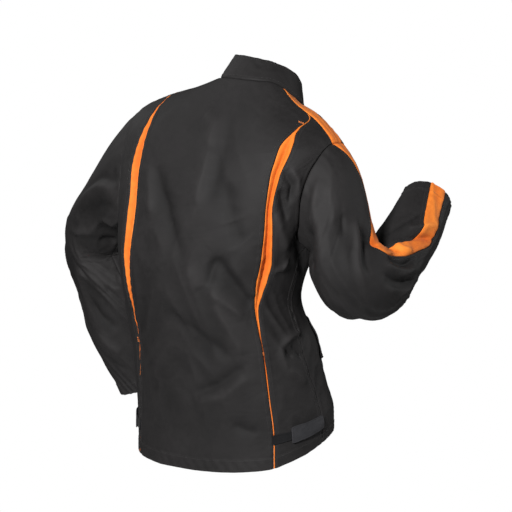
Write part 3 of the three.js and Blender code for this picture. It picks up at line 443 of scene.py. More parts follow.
def clothMaterial(name, finish):
    material = bpy.data.materials.new(name)
    material.use_nodes = True
    nodes, links = material.node_tree.nodes, material.node_tree.links
    nodes.clear()
    add = nodes.new
    output, shader = add("ShaderNodeOutputMaterial"), add("ShaderNodeBsdfPrincipled")
    links.new(shader.outputs["BSDF"], output.inputs["Surface"])
    shader.inputs["Specular IOR Level"].default_value = finish["specular"]
    shader.inputs["Sheen Weight"].default_value = finish["sheen"]
    shader.inputs["Sheen Roughness"].default_value = finish["sheenRoughness"]
    flat, space = add("ShaderNodeUVMap"), add("ShaderNodeTexCoord")
    flat.uv_map = "cloth"
    twillLines = add("ShaderNodeTexWave")  # the diagonal lines of the weave
    twillLines.bands_direction = "DIAGONAL"
    twillLines.inputs["Scale"].default_value = pattern["lineScale"] / finish["pitch"]
    twillLines.inputs["Distortion"].default_value = pattern["lineWander"]
    twillLines.inputs["Detail"].default_value = 1.0
    links.new(flat.outputs["UV"], twillLines.inputs["Vector"])

    def noise(scale, detail, source):
        made = add("ShaderNodeTexNoise")
        made.inputs["Scale"].default_value = scale
        made.inputs["Detail"].default_value = detail
        links.new(source, made.inputs["Vector"])
        return made.outputs["Fac"]

    def maths(operation, a, b, clamp=False):
        made = add("ShaderNodeMath")
        made.operation = operation
        made.use_clamp = clamp
        for socket, value in zip(made.inputs, (a, b)):
            if isinstance(value, (int, float)):
                socket.default_value = value
            else:
                links.new(value, socket)
        return made.outputs[0]

    def around(source, amount):  # a texture about its middle
        return maths("MULTIPLY", maths("SUBTRACT", source, 0.5), amount)

    fibre = noise(pattern["fibreScale"], 2, flat.outputs["UV"])
    patches = noise(pattern["patchScale"], 4, space.outputs["Object"])
    speckle = noise(pattern["speckleScale"], 3, space.outputs["Object"])
    fold = add("ShaderNodeAttribute")
    fold.attribute_name = "fold"
    # the fold height lightens ridges and darkens hollows: painted highlight and painted shade, with a little
    # real wear on ridges
    wearAndPaintedShade = maths("MULTIPLY", fold.outputs["Fac"], pattern["foldWearAndShade"])
    lines = around(twillLines.outputs["Fac"], finish["weave"])
    mottle = around(patches, pattern["patchFade"])
    grain = around(speckle, pattern["speckleFade"])
    fade = maths("ADD", maths("ADD", lines, mottle), maths("ADD", grain, wearAndPaintedShade))
    fade = maths("ADD", fade, pattern["fade"], True)
    blend = add("ShaderNodeMix")
    blend.data_type = "RGBA"
    blend.inputs["A"].default_value = (*finish["dark"], 1)
    blend.inputs["B"].default_value = (*finish["faded"], 1)
    links.new(fade, blend.inputs["Factor"])
    links.new(blend.outputs["Result"], shader.inputs["Base Color"])
    least = finish["roughness"] - pattern["roughnessRange"] / 2
    rough = maths("ADD", maths("MULTIPLY", speckle, pattern["roughnessRange"]), least)
    links.new(rough, shader.inputs["Roughness"])
    lineHeight = maths("MULTIPLY", twillLines.outputs["Fac"], pattern["lineHeight"])
    height = maths("ADD", lineHeight, maths("MULTIPLY", fibre, pattern["fibreHeight"]))
    bump = add("ShaderNodeBump")
    bump.inputs["Strength"].default_value = finish["bump"]
    bump.inputs["Distance"].default_value = pattern["bumpDistance"]
    links.new(height, bump.inputs["Height"])
    links.new(bump.outputs["Normal"], shader.inputs["Normal"])
    return material


materials = {name: clothMaterial(name, finish) for name, finish in finishes.items()}
print("cloth finishes made")

# Body panels: all share the same rows, so that the seams meet
turns = np.linspace(seams["stripeTurn"], 180, 84)
bodyRows = np.unique(np.round(np.concatenate((
    endSteps[:-1] / body["length"],
    np.arange(0.0085, seams["armholeTop"], cloth["spacing"] / body["length"]),
    [seams["insertStart"]],
    armholePlace(turns)[1],
    np.arange(seams["armholeBottom"], 0.99, cloth["spacing"] / body["length"]),
    1 - endSteps / body["length"],
)), 6))

foldLimit = 6  # how much of a fold's height its colour follows, as painted shade in hollows and painted highlight on ridges
hemShape = {
    "thick": 0.7, "edgeWidth": 2.5, "stitchSink": 0.7, "stitchWidth": 1.6, "roping": 0.45, "ropingPitch": 19,
    "ropingSlant": 0.6, "ropingReach": 0.55, "wander": 1.5, "wanderLength": 70,
}


def hemRelief(fromHem, along, depth):  # the turned hem: thicker below its stitch row, with slanting roping
    turned = hemShape["thick"] * (1 - smoothShare((fromHem - depth + 1) / hemShape["edgeWidth"]))
    stitched = -hemShape["stitchSink"] * bell(fromHem - depth, hemShape["stitchWidth"])
    slanting = (along + fromHem * hemShape["ropingSlant"]) * fullTurn / hemShape["ropingPitch"]
    wander = hemShape["wander"] * np.sin(along / hemShape["wanderLength"])
    roping = hemShape["roping"] * np.sin(slanting + wander)
    return turned + stitched + roping * bell(fromHem - depth / 2, depth * hemShape["ropingReach"])


def bodyPanel(name, finish, startV, endV, firstEdge, secondEdge, sink=None, seed=1):
    slack = 1e-6
    v = bodyRows[(bodyRows >= startV - slack) & (bodyRows <= endV + slack)]
    first, second = firstEdge(v), secondEdge(v)
    degree = bodyDegree((first + second) / 2, v)
    across = seamColumns((second - first) * degree)
    angle = first[:, None] + across / degree[:, None]
    down = np.broadcast_to((v * body["length"])[:, None], angle.shape)
    grid = np.broadcast_to(v[:, None], angle.shape)
    skin, normal = bodySkin(angle, grid)
    x, y = bodyFlat(angle, grid)
    width = across[:, -1:]
    relief = seamRelief(across, down, seed) + seamRelief(width - across, down, seed + 1.7)
    relief = relief * mix(narrowPanel["body"], 1.0, smoothShare(width / narrowPanel["settled"]))
    if endV == 1:
        relief = relief + hemRelief(body["length"] - down, x, body["hem"])
    else:
        relief = relief - seamShape["dip"] * bell(down[-1] - down, seamShape["dipWidth"])
    if startV == 0:
        relief = relief - seamShape["dip"] * bell(down, seamShape["endDipWidth"])
    if sink is not None:
        relief = relief - sink(across / width, grid)
    fold = np.clip(bodyRelief(angle, grid) + relief, -foldLimit, foldLimit)
    clothPiece(name, skin + normal * relief[..., None], normal, fromEdge(across, down), cloth["thickness"],
               np.stack((x, y), -1), finish, fold)


def pleatDepth(share, v):  # the insert's V fold, open where the jacket is stretched over the shoulder blades
    closed = 1 - np.abs(2 * share - 1)
    return seams["pleatDepth"] * readRows(insertSeam, "v", v)["deep"] * closed ** seams["pleatPower"]


def mirrored(side, edge):
    return lambda v: side * edge(v)


def backEdge(side):
    def edge(v):
        start = seams["insertStart"]
        return np.where(v < start, stripeEdge(v, -1), insertEdge(side, np.maximum(v, start), -1))
    return edge


bodyPanel("back_panel", "twill", 0, 1, lambda v: -backEdge(-1)(v), backEdge(1), seed=1)
for side, name in ((1, "right"), (-1, "left")):
    pairs = {
        "insert": (lambda v: insertEdge(side, v, -1), lambda v: insertEdge(side, v, 1)),
        "side_panel": (lambda v: insertEdge(side, v, 1), lambda v: outerEdge(v, -1)),
        "shoulder_stripe": (lambda v: stripeEdge(v, -1), lambda v: stripeEdge(v, 1)),
        "front": (lambda v: outerEdge(v, 1), lambda v: np.full(np.shape(v), 180.0)),
    }
    for panel, edges in pairs.items():
        finish = "orange" if panel in ("insert", "shoulder_stripe") else "twill"
        startV = seams["insertStart"] if panel in ("insert", "side_panel") else 0
        endV = seams["armholeTop"] if panel == "shoulder_stripe" else 1
        ends = [mirrored(side, edge) for edge in edges]
        if side < 0:
            ends.reverse()
        bodyPanel(f"{name}_{panel}", finish, startV, endV, *ends,
                  sink=pleatDepth if panel == "insert" else None, seed=2 + len(panel) + side)
print("body panels made")

# Sleeves
sleeve = {
    "upperArm": 258, "forearm": 312, "elbowRadius": 68, "halfWidth": 62, "halfDepth": 84, "capLength": 150,
    "capOut": 0.7, "capDown": 0.2, "capAlong": 0.6, "flatRadius": 65, "cuffHem": 24, "thinnest": 0.6,
    "armholeDip": 1.3, "armholePucker": 0.7, "puckerPitch": 17, "puckerWander": 1.3, "puckerLength": 40,
    "puckerReach": 9, "puckerStart": 4, "firstStep": 6.5, "hangsAt": 0.3,
}
sleeveCrumple = {  # creases between the folds, stronger by the elbow: heights and sizes
    "broad": 1.1, "broadSize": 80, "broadSlant": (0.6, 0.35), "fine": 0.25, "fineSize": 32,
    "fineSlant": (-0.3, 0.9), "girth": 1.3, "settled": 30, "elbowAt": 0.5, "elbowReach": 0.16,
    "elbowMore": 2.2,
}
sleeveRows = table(
    "t outer inner back front stripe leftWide leftIn",
    (0.00, 1.00, 0.90, 1.00, 0.90, 0, 1.00, 0.90), (0.10, 0.93, 0.80, 0.90, 0.78, -18, 0.97, 0.66),
    (0.20, 0.96, 0.94, 0.92, 0.80, -30, 1.00, 0.70), (0.28, 1.08, 0.89, 1.00, 0.76, -8, 0.98, 0.88),
    (0.38, 1.18, 1.12, 0.96, 0.67, -12, 0.93, 0.88), (0.48, 1.10, 1.08, 0.73, 0.67, -26, 1.08, 0.90),
    (0.56, 1.02, 0.98, 0.58, 0.69, -20, 1.29, 1.05), (0.64, 0.96, 0.92, 0.56, 0.70, 4, 1.36, 1.15),
    (0.72, 0.92, 0.88, 0.64, 0.66, 24, 1.30, 1.10), (0.80, 0.86, 0.82, 0.66, 0.60, 22, 1.20, 0.96),
    (1.00, 0.74, 0.72, 0.56, 0.52, 4, 1.00, 0.72),
)
arms = {  # start of the centreline, then the directions of the upper arm and forearm: out, forwards, up
    "right": {"side": 1, "start": (0.88, -0.02, 0.24), "reach": 1.00, "upper": (0.45, 0.10, -0.905),
              "fore": (-0.125, 0.77, 0.54)},
    "left": {"side": -1, "start": (1.02, 0.10, 0.24), "reach": 0.95, "upper": (0.69, 0.215, -0.69),
             "fore": (-0.265, 0.14, -0.95)},
}
sleeveFolds = {
    "right": table(
        "a1 v1 a2 v2 a3 v3 width height lean",
        (66, 0.042, 103, 0.085, 88, 0.290, 11, 4.0, 0.0),  # the light band behind
        (50, 0.186, 51, 0.213, 52, 0.241, 7, -4.0, 0.0),
        (28, 0.215, 37, 0.295, 58, 0.364, 5, 5.5, 0.0),  # thin ridge above the bend
        (18, 0.266, 32, 0.316, 47, 0.352, 6, -5.5, 0.0),
        (23, 0.247, 11, 0.282, -2, 0.322, 6, -5.0, 0.0),
        (58, 0.091, 64, 0.143, 66, 0.198, 8, 2.0, 0.0),
        (130, 0.038, 126, 0.170, 117, 0.300, 7, -4.0, 0.0),
        (103, 0.337, 94, 0.364, 85, 0.394, 10, -3.0, 0.0),
        (-14, 0.715, 4, 0.754, 36, 0.833, 6, 4.5, 0.0),  # forearm
        (-19, 0.655, 5, 0.700, 43, 0.769, 5, -5.5, 0.0),
        (-25, 0.613, -8, 0.600, 11, 0.626, 6, 5.0, 0.0),
        (5, 0.390, 4, 0.484, 22, 0.605, 5, -5.0, 0.0),
        (20, 0.385, 17, 0.461, 27, 0.573, 6, 4.5, 0.0),
        (-45, 0.663, -27, 0.745, -4, 0.839, 5, -3.0, 0.0),
        (34, 0.398, 38, 0.485, 73, 0.626, 7, -4.0, 0.0),
        (47, 0.411, 53, 0.478, 58, 0.539, 8, 3.0, 0.0),
    ),
    "left": table(
        "a1 v1 a2 v2 a3 v3 width height lean",
        (76, 0.227, 94, 0.107, 115, 0.008, 8, 5.5, 0.2),  # arcs from the armhole
        (71, 0.196, 85, 0.102, 103, 0.029, 6, -3.5, 0.0),
        (86, 0.039, 97, 0.031, 104, 0.018, 6, -4.0, 0.0),
        (98, 0.339, 127, 0.280, 162, 0.010, 8, 5.5, 0.2),
        (87, 0.270, 113, 0.173, 129, 0.014, 9, -4.5, 0.0),
        (147, 0.300, 162, 0.300, 175, 0.304, 9, -6.5, 0.0),
        (120, 0.407, 134, 0.545, 153, 0.598, 7, 4.5, 0.0),  # forearm
        (153, 0.598, 163, 0.609, 175, 0.609, 7, 3.0, 0.0),
        (102, 0.627, 130, 0.702, 150, 0.753, 8, -3.0, 0.0),
        (110, 0.748, 124, 0.805, 141, 0.843, 7, 2.5, 0.0),
        (105, 0.829, 119, 0.874, 138, 0.906, 6, -2.5, 0.0),
    ),
}


def turnedAbout(vector, axis, angle):
    cosine, sine = np.cos(angle)[..., None], np.sin(angle)[..., None]
    return vector * cosine + np.cross(axis, vector) * sine + axis * (axis @ vector) * (1 - cosine)


def sleeveLine(arm, distance):  # straight, round the elbow and straight again
    distance = np.asarray(distance, float)
    side = arm["side"]
    chest = readRows(bodyRings, "v", sleeve["hangsAt"])
    out, forward, drop = arm["start"]
    start = np.array((
        (chest["sway"] - side * out) * body["chestHalfWidth"],
        (chest["lean"] - forward) * body["chestHalfDepth"],
        -drop * body["length"],
    ))
    upper = unit(np.array(arm["upper"]) * (-side, -1, 1))
    fore = unit(np.array(arm["fore"]) * (-side, -1, 1))
    bend = math.acos(upper @ fore)
    axis = unit(np.cross(upper, fore))
    radius = sleeve["elbowRadius"]
    cut = radius * math.tan(bend / 2)
    upperRun = arm["reach"] * sleeve["upperArm"] - cut
    turnRun = radius * bend
    total = upperRun + turnRun + sleeve["forearm"] - cut
    run = distance * total
    turned = bend * np.clip((run - upperRun) / turnRun, 0, 1)
    inwards = np.cross(axis, upper)
    centre = start + upper * (np.minimum(run, upperRun) + radius * np.sin(turned))[..., None]
    centre = centre + inwards * (radius * (1 - np.cos(turned)))[..., None]
    centre = centre + turnedAbout(upper, axis, turned) * np.maximum(0, run - upperRun - turnRun)[..., None]
    up = unit(np.array((0, 0, 1)) - upper * upper[2])
    back = np.cross(upper, up) * side
    return centre, upper, total, turnedAbout(up, axis, turned), turnedAbout(back, axis, turned)


def sleeveBase(arm, turn, distance):  # leaves the armhole outwards and settles into a tube
    turn, distance = np.broadcast_arrays(np.asarray(turn, float), np.asarray(distance, float))
    centre, upper, total, up, back = sleeveLine(arm, distance)
    row = readRows(sleeveRows, "t", distance)
    angle, v = armholePlace(np.where(turn >= 180, 180.0, wrapped(turn)))
    seam = bodySkin(arm["side"] * angle, v)[0]
    sine, cosine = np.sin(np.radians(turn)), np.cos(np.radians(turn))
    wide = 1 if arm["side"] > 0 else row["leftWide"]
    inner = row["inner"] if arm["side"] > 0 else row["leftIn"]
    upHalf = np.where(cosine > 0, row["outer"] * wide, inner) * sleeve["halfWidth"] * cosine
    backHalf = np.where(sine > 0, row["back"] * wide, row["front"]) * sleeve["halfDepth"] * sine
    tube = centre + up * upHalf[..., None] + back * backHalf[..., None]
    sideways = np.array((-arm["side"] * sleeve["capOut"], 0, -sleeve["capDown"]))
    outwards = unit(sideways + upper * sleeve["capAlong"])
    run = (distance * total)[..., None]
    return mix(seam + outwards * run, tube, smoothShare(run / sleeve["capLength"]))


def sleeveFlat(arm):
    total, radius = sleeveLine(arm, 0)[2], sleeve["flatRadius"]
    return lambda turn, distance: (np.radians(turn) * radius, np.asarray(distance, float) * total)


def sleeveRelief(name, turn, distance):
    arm, shape = arms[name], sleeveCrumple
    x, y = sleeveFlat(arm)(turn, distance)
    folds = foldHeights(sleeveFolds[name], x, y, sleeveFlat(arm))
    radius = sleeve["flatRadius"] * shape["girth"]
    ring = radius * np.sin(np.radians(turn)), radius * np.cos(np.radians(turn))

    def slantingCreases(slant, size, seed):  # they close round the sleeve
        return creases(ring[0] + slant[0] * y, ring[1] + slant[1] * y, size, seed + arm["side"])

    elbow = shape["elbowMore"] * bell(distance - shape["elbowAt"], shape["elbowReach"])
    broad = slantingCreases(shape["broadSlant"], shape["broadSize"], 21) * shape["broad"]
    fine = slantingCreases(shape["fineSlant"], shape["fineSize"], 31) * shape["fine"]
    return (folds + (broad + fine) * (1 + elbow)) * smoothShare(y / shape["settled"])


def sleeveSkin(name, turn, distance):
    arm = arms[name]
    inner = np.clip(distance, 0.004, 0.997)
    normal = surfaceNormal(lambda a, b: sleeveBase(arm, a, b), turn, inner, 1.0, 0.003) * arm["side"]
    point = sleeveBase(arm, turn, distance)
    return point + normal * sleeveRelief(name, turn, distance)[..., None], normal


def sleeveDegree(arm, turn, distance):
    ahead, behind = sleeveBase(arm, turn + 1, distance), sleeveBase(arm, turn - 1, distance)
    return np.linalg.norm(ahead - behind, axis=-1) / 2


def sleeveLimits(name, panel, distance):
    arm = arms[name]
    centre = readRows(sleeveRows, "t", distance)["stripe"]
    settled = smoothShare(distance / seams["stripeSettled"])
    half = mix(seams["stripeTurn"], seams["stripeWidth"] / 2 / sleeveDegree(arm, 0, distance), settled)
    below = np.full(half.shape, 180.0)
    ends = {
        "stripe": (centre - half, centre + half),
        "back": (centre + half, below),
        "front": (-below, centre - half),
    }
    return ends[panel]


def sleevePanel(name, panel, seed):
    arm = arms[name]
    total = sleeveLine(arm, 0)[2]
    down = stepsAlong(total, endSteps[:-1], sleeve["firstStep"], int(total / cloth["spacing"]))
    distance = down / total
    first, second = sleeveLimits(name, panel, distance)
    degree = np.maximum(sleeveDegree(arm, (first + second) / 2, distance), sleeve["thinnest"])
    across = seamColumns((second - first) * degree)
    turn = first[:, None] + across / degree[:, None]
    grid = np.broadcast_to(distance[:, None], turn.shape)
    drop = np.broadcast_to(down[:, None], turn.shape)
    skin, normal = sleeveSkin(name, turn, grid)
    width = across[:, -1:]
    relief = seamRelief(across, drop, seed) + seamRelief(width - across, drop, seed + 2.3)
    relief = relief * mix(narrowPanel["sleeve"], 1.0, smoothShare(width / narrowPanel["settled"]))
    relief = relief - seamShape["dip"] * sleeve["armholeDip"] * bell(drop, seamShape["endDipWidth"])
    x, y = sleeveFlat(arm)(turn, grid)
    wander = sleeve["puckerWander"] * np.sin(x / sleeve["puckerLength"])
    pucker = sleeve["armholePucker"] * np.sin(x * fullTurn / sleeve["puckerPitch"] + wander)
    pucker = pucker * np.exp(-drop / sleeve["puckerReach"])
    relief = relief + pucker * smoothShare(drop / sleeve["puckerStart"])
    relief = relief + hemRelief(total - drop, x, sleeve["cuffHem"])
    fold = np.clip(sleeveRelief(name, turn, grid) + relief, -foldLimit, foldLimit)
    finish = "orange" if panel == "stripe" else "twill"
    clothPiece(f"{name}_sleeve_{panel}", skin + normal * relief[..., None], normal, fromEdge(across, drop),
               cloth["thickness"], np.stack((x, y), -1), finish, fold)


for name in arms:
    for number, panel in enumerate(("stripe", "back", "front")):
        sleevePanel(name, panel, 5 + 2 * number + arms[name]["side"])
print("sleeves made")

# Collar
collar = {
    "height": 40, "topHalfWidth": 58, "topHalfDepth": 62, "lean": 20, "thickness": 2.6, "slit": 6,
    "columns": 170, "rows": 12, "flatRadius": 64, "wave": 0.5, "waves": 9, "crease": 0.5, "creaseSize": 34,
    "stitchAt": 5, "stitchSink": 0.35, "stitchWidth": 0.9, "seamDip": 1.2,
}
collarRows = table(
    "angle height",
    (-180, 0.85), (-90, 1.00), (0, 0.97), (35, 0.87), (50, 0.80), (65, 0.86), (80, 0.97), (95, 1.06),
    (110, 0.96), (130, 0.85), (180, 0.85),
)


def collarPoint(angle, height):
    angle, height = np.broadcast_arrays(np.asarray(angle, float), np.asarray(height, float))
    tall = readRows(collarRows, "angle", np.clip(angle, -180, 180))["height"]
    seam = bodyBase(angle, np.zeros(angle.shape))
    rim = np.stack((
        -collar["topHalfWidth"] * np.sin(np.radians(angle)),
        collar["topHalfDepth"] * np.cos(np.radians(angle)) - collar["lean"],
        seam[..., 2] + tall * collar["height"],
    ), -1)
    return mix(seam, rim, height[..., None])


def makeCollar():
    slit = collar["slit"] / 2 / math.radians(collar["topHalfWidth"])
    length = 2 * collar["topHalfWidth"] * math.radians(180 - slit)
    near = np.array([0, 0.4, 1, 2])
    across = stepsAlong(length, near, 4, collar["columns"])
    down = stepsAlong(collar["height"], near, 3.5, collar["rows"])
    angle = (2 * across / length - 1) * (180 - slit)
    turn, height = np.meshgrid(angle, down / collar["height"])
    point = collarPoint(turn, height)
    normal = surfaceNormal(collarPoint, turn, np.clip(height, 0.001, 0.999), 0.5, 0.001)
    radians, rise = np.radians(turn), height * collar["height"]
    relief = collar["wave"] * np.sin(radians * collar["waves"] + 2 * height) * height
    relief += collar["crease"] * creases(radians * 60, rise, collar["creaseSize"], 5)
    for row in (collar["stitchAt"], collar["height"] - collar["stitchAt"]):
        relief -= collar["stitchSink"] * bell(rise - row, collar["stitchWidth"])
    relief -= collar["seamDip"] * bell(rise, seamShape["endDipWidth"])
    acrossGrid = np.broadcast_to(across[None, :], turn.shape)
    downGrid = np.broadcast_to(down[:, None], turn.shape)
    flat = np.stack((radians * collar["flatRadius"], rise), -1)
    clothPiece("collar", point + normal * relief[..., None], normal, fromEdge(acrossGrid, downGrid),
               collar["thickness"], flat, "twill", relief)


makeCollar()
print("collar made")


# Patches that lie on the body: the placket, the pocket flaps, the hem tabs and their loop strips
patch = {
    "first": 4.5, "stitchAt": 3, "stitchSink": 0.35, "stitchWidth": 0.8, "rimAt": 1.2, "rimRise": 0.3,
    "topWave": 0.4, "topWaveLength": 11, "topWaveReach": 14, "downWave": 0.3, "downWaveLength": 9, "seed": 4,
}
tab = {"length": 70, "height": 42, "thickness": 2.0, "stripShow": 30, "underTab": 0.7, "stripHeight": 22,
       "stripThickness": 1.2, "drop": 0.905, "slope": -0.001, "lift": 0.8, "gap": 0.3, "corner": 5,
       "stripCorner": 1.5, "spacing": 2.5}
flap = {"width": 130, "height": 78, "angle": 106, "drop": 0.60, "lift": 3.5, "corner": 6, "spacing": 2.5}
placket = {"width": 60, "lift": 2.6, "drop": 0.06, "corner": 3, "spacing": 4}


def bodyPatch(name, finish, size, angleAt, vAt, thickness, lift, corner, spacing):
    width, height = size
    near = rimSteps[:5]
    across = stepsAlong(width, near, patch["first"], max(int(width / spacing), 3))
    down = stepsAlong(height, near, patch["first"], max(int(height / spacing), 3))
    x, y = np.meshgrid(across, down)
    fromEnd = np.minimum(x, width - x)
    narrow = corner - np.sqrt(np.maximum(corner**2 - np.maximum(corner - fromEnd, 0) ** 2, 0))
    shaped = mix(narrow, height - narrow, y / height)
    v = vAt(x, shaped)
    skin, normal = bodySkin(angleAt(x, v), v)
    fromRim = np.minimum(fromEnd, np.minimum(y, height - y))
    relief = patch["rimRise"] * bell(fromRim - patch["rimAt"], 1)
    relief -= patch["stitchSink"] * bell(fromRim - patch["stitchAt"], patch["stitchWidth"])
    fading = np.exp(-y / patch["topWaveReach"])
    relief += patch["topWave"] * np.sin(x / patch["topWaveLength"] + patch["seed"]) * fading
    relief += patch["downWave"] * np.sin(y / patch["downWaveLength"] + patch["seed"])
    flat = np.stack((x, shaped), -1)
    clothPiece(name, skin + normal * relief[..., None], normal, fromRim, thickness, flat,
               finish, relief, lift)


def sideAngle(v):
    return readRows(sideSeam, "v", v)["angle"]


def tabV(away, down, height):
    return tab["drop"] + tab["slope"] * away / tab["length"] + (down - height / 2) / body["length"]


def makeTab(side, name):
    stripLift = cloth["thickness"] / 2 + tab["lift"] + tab["stripThickness"] / 2
    tabLift = stripLift + tab["stripThickness"] / 2 + tab["gap"] + tab["thickness"] / 2
    stripStart = (1 - tab["underTab"]) * tab["length"]
    stripSize = (tab["length"] + tab["stripShow"] - stripStart, tab["stripHeight"])
    degree = bodyDegree(sideAngle(tab["drop"]), tab["drop"])

    def tabAngle(away, v):
        return side * (sideAngle(v) - away / degree)

    bodyPatch(f"{name}_loop_strip", "hookAndLoop", stripSize,
              lambda x, v: tabAngle(x + stripStart, v),
              lambda x, y: tabV(x + stripStart, y, tab["stripHeight"]),
              tab["stripThickness"], stripLift, tab["stripCorner"], tab["spacing"])
    bodyPatch(f"{name}_hem_tab", "tape", (tab["length"], tab["height"]),
              tabAngle, lambda x, y: tabV(x, y, tab["height"]),
              tab["thickness"], tabLift, tab["corner"], tab["spacing"])


def makeFlap(side, name):
    degree = bodyDegree(flap["angle"], flap["drop"])
    bodyPatch(f"{name}_pocket_flap", "twill", (flap["width"], flap["height"]),
              lambda x, v: side * (flap["angle"] + x / degree),
              lambda x, y: flap["drop"] + y / body["length"],
              cloth["thickness"], flap["lift"], flap["corner"], flap["spacing"])


def makePlacket():
    bodyPatch("front_placket", "twill", (placket["width"], (1 - placket["drop"]) * body["length"]),
              lambda x, v: 180 + (x - placket["width"] / 2) / bodyDegree(180.0, v),
              lambda x, y: placket["drop"] + y / body["length"],
              cloth["thickness"], placket["lift"], placket["corner"], placket["spacing"])


for side, name in ((1, "right"), (-1, "left")):
    makeTab(side, name)
    makeFlap(side, name)
makePlacket()
print("placket, flaps and tabs made")

# Stitches: small beads of thread in rows beside the seams
stitch = {
    "pitch": 3.6, "length": 2.7, "radius": 0.32, "sides": 5, "waist": 0.55, "tipSink": 0.6,
    "rows": (2.6, 8.0), "bodyLift": 0.45, "stripeLift": 0.4, "sleeveLift": 0.4, "hemLift": 0.15,
    "collarLift": 0.2, "hemRows": (0, 3.0), "cuffRows": (0, 2.6),
}
stitchSpans = {  # where the rows along a seam start and end, and how many points trace them
    "insert": (seams["insertStart"] + 0.02, 0.995, 500), "stripe": (0.02, seams["armholeTop"] - 0.004, 120),
    "side": (0.41, 0.995, 400), "hem": (-180, 180, 900), "sleeve": (0.012, 0.985, 400),
    "cuff": (-179, 179, 260), "collar": (-176, 176, 300), "tack": (-0.5, 0.5, 12),
}


def stitchBeads(paths):
    ring = np.radians(np.arange(stitch["sides"]) * 360 / stitch["sides"])
    points, faces, base = [], [], 0
    for path, normal in paths:
        steps = np.linalg.norm(np.diff(path, axis=0), axis=1)
        run = np.concatenate(([0], np.cumsum(steps)))
        centres = np.arange(stitch["pitch"] / 2, run[-1], stitch["pitch"])
        if len(centres) == 0:
            continue

        def along(places, values):
            return np.stack([np.interp(places, run, values[:, i]) for i in range(3)], -1)

        middle, up = along(centres, path), unit(along(centres, normal))
        ahead = along(centres + stitch["length"] / 2, path) - along(centres - stitch["length"] / 2, path)
        ahead = unit(ahead) * stitch["length"] / 2
        across = unit(np.cross(ahead, up)) * stitch["radius"]
        up = up * stitch["radius"]
        rings = []
        for share in (-stitch["waist"], stitch["waist"]):
            for turn in ring:
                rings.append(middle + ahead * share + across * math.cos(turn) + up * math.sin(turn))
        sunk = middle - up * stitch["tipSink"]
        tips = [sunk - ahead, sunk + ahead]
        bead = np.stack(rings + tips, 1)
        count, size, sides = len(middle), bead.shape[1], stitch["sides"]
        points.append(bead.reshape(-1, 3))
        offsets = base + np.arange(count)[:, None] * size
        for i in range(sides):
            j = (i + 1) % sides
            for corners in ((i, j, sides + j), (i, sides + j, sides + i), (2 * sides, j, i),
                            (2 * sides + 1, sides + i, sides + j)):
                faces.append(offsets + np.array(corners))
        base += count * size
    return np.concatenate(points) * mm, np.concatenate(faces)


def stitchPiece(name, paths, material):
    points, faces = stitchBeads(paths)
    mesh = bpy.data.meshes.new(name)
    mesh.from_pydata(points.tolist(), [], faces.tolist())
    mesh.shade_smooth()
    mesh.uv_layers.new(name="cloth")
    mesh.materials.append(materials[material])
    piece = bpy.data.objects.new(name, mesh)
    bpy.context.collection.objects.link(piece)
    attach(piece, "root")
    return len(faces)


def bodyPath(angle, v, lift):
    angle, v = np.broadcast_arrays(np.asarray(angle, float), np.asarray(v, float))
    point, normal = bodySkin(angle, v)
    return point + normal * np.asarray(lift)[..., None], normal


def seamRow(side, edge, v, away, lift):  # a row beside a seam of the body
    angle = edge + away / bodyDegree(edge, v)
    return bodyPath(side * angle, v, cloth["thickness"] / 2 + lift)


def bodyStitches():
    paths = []
    angles = np.linspace(*stitchSpans["hem"])
    hemV = 1 - body["hem"] / body["length"]
    for offset in stitch["hemRows"]:
        thick = hemRelief(body["hem"] - offset, bodyFlat(angles, hemV)[0], body["hem"])
        lift = cloth["thickness"] / 2 + stitch["hemLift"] + thick
        paths.append(bodyPath(angles, hemV + offset / body["length"], lift))
    besideInsert = np.linspace(*stitchSpans["insert"])
    besideStripe = np.linspace(*stitchSpans["stripe"])
    besideSide = np.linspace(*stitchSpans["side"])
    for side in (1, -1):
        for ahead in (-1, 1):
            edge = insertEdge(side, besideInsert, ahead)
            for inset in stitch["rows"]:
                paths.append(seamRow(side, edge, besideInsert, ahead * inset, stitch["bodyLift"]))
        for ahead in (-1, 1):
            edge = stripeEdge(besideStripe, ahead)
            paths.append(seamRow(side, edge, besideStripe, ahead * stitch["rows"][0], stitch["stripeLift"]))
        for inset in stitch["rows"]:
            paths.append(seamRow(side, sideAngle(besideSide), besideSide, -inset, stitch["bodyLift"]))
    return paths


def sleeveStitches(name):
    arm, paths = arms[name], []
    total = sleeveLine(arm, 0)[2]
    surface = cloth["thickness"] / 2
    around = np.linspace(*stitchSpans["cuff"])
    for offset in stitch["cuffRows"]:
        fromCuff = sleeve["cuffHem"] - offset
        distance = np.full(around.shape, 1 - fromCuff / total)
        point, normal = sleeveSkin(name, around, distance)
        thick = hemRelief(fromCuff, sleeveFlat(arm)(around, distance)[0], sleeve["cuffHem"])
        paths.append((point + normal * (surface + stitch["hemLift"] + thick)[:, None], normal))
    distance = np.linspace(*stitchSpans["sleeve"])
    for panel, end, way in (("back", 0, 1), ("front", 1, -1)):
        edge = sleeveLimits(name, panel, distance)[end]
        degree = sleeveDegree(arm, edge, distance)
        for inset in stitch["rows"]:
            point, normal = sleeveSkin(name, edge + way * inset / degree, distance)
            paths.append((point + normal * (surface + stitch["sleeveLift"]), normal))
    return paths


def collarStitches():
    paths = []
    angles = np.linspace(*stitchSpans["collar"])
    share = collar["stitchAt"] / collar["height"]
    for height in (share, 1 - share):
        heights = np.full(angles.shape, height)
        normal = surfaceNormal(collarPoint, angles, heights, 0.5, 0.001)
        lift = collar["thickness"] / 2 + stitch["collarLift"]
        paths.append((collarPoint(angles, heights) + normal * lift, normal))
    return paths


tack = {"length": 9, "width": 2.2, "rows": 4, "lift": 0.75}
tackPlaces = table(
    "angle v slant",
    (61.5, 0.094, 0.5), (-64.0, 0.094, 0.4), (42.9, 0.655, 1.57), (-43.2, 0.655, 1.57),
)


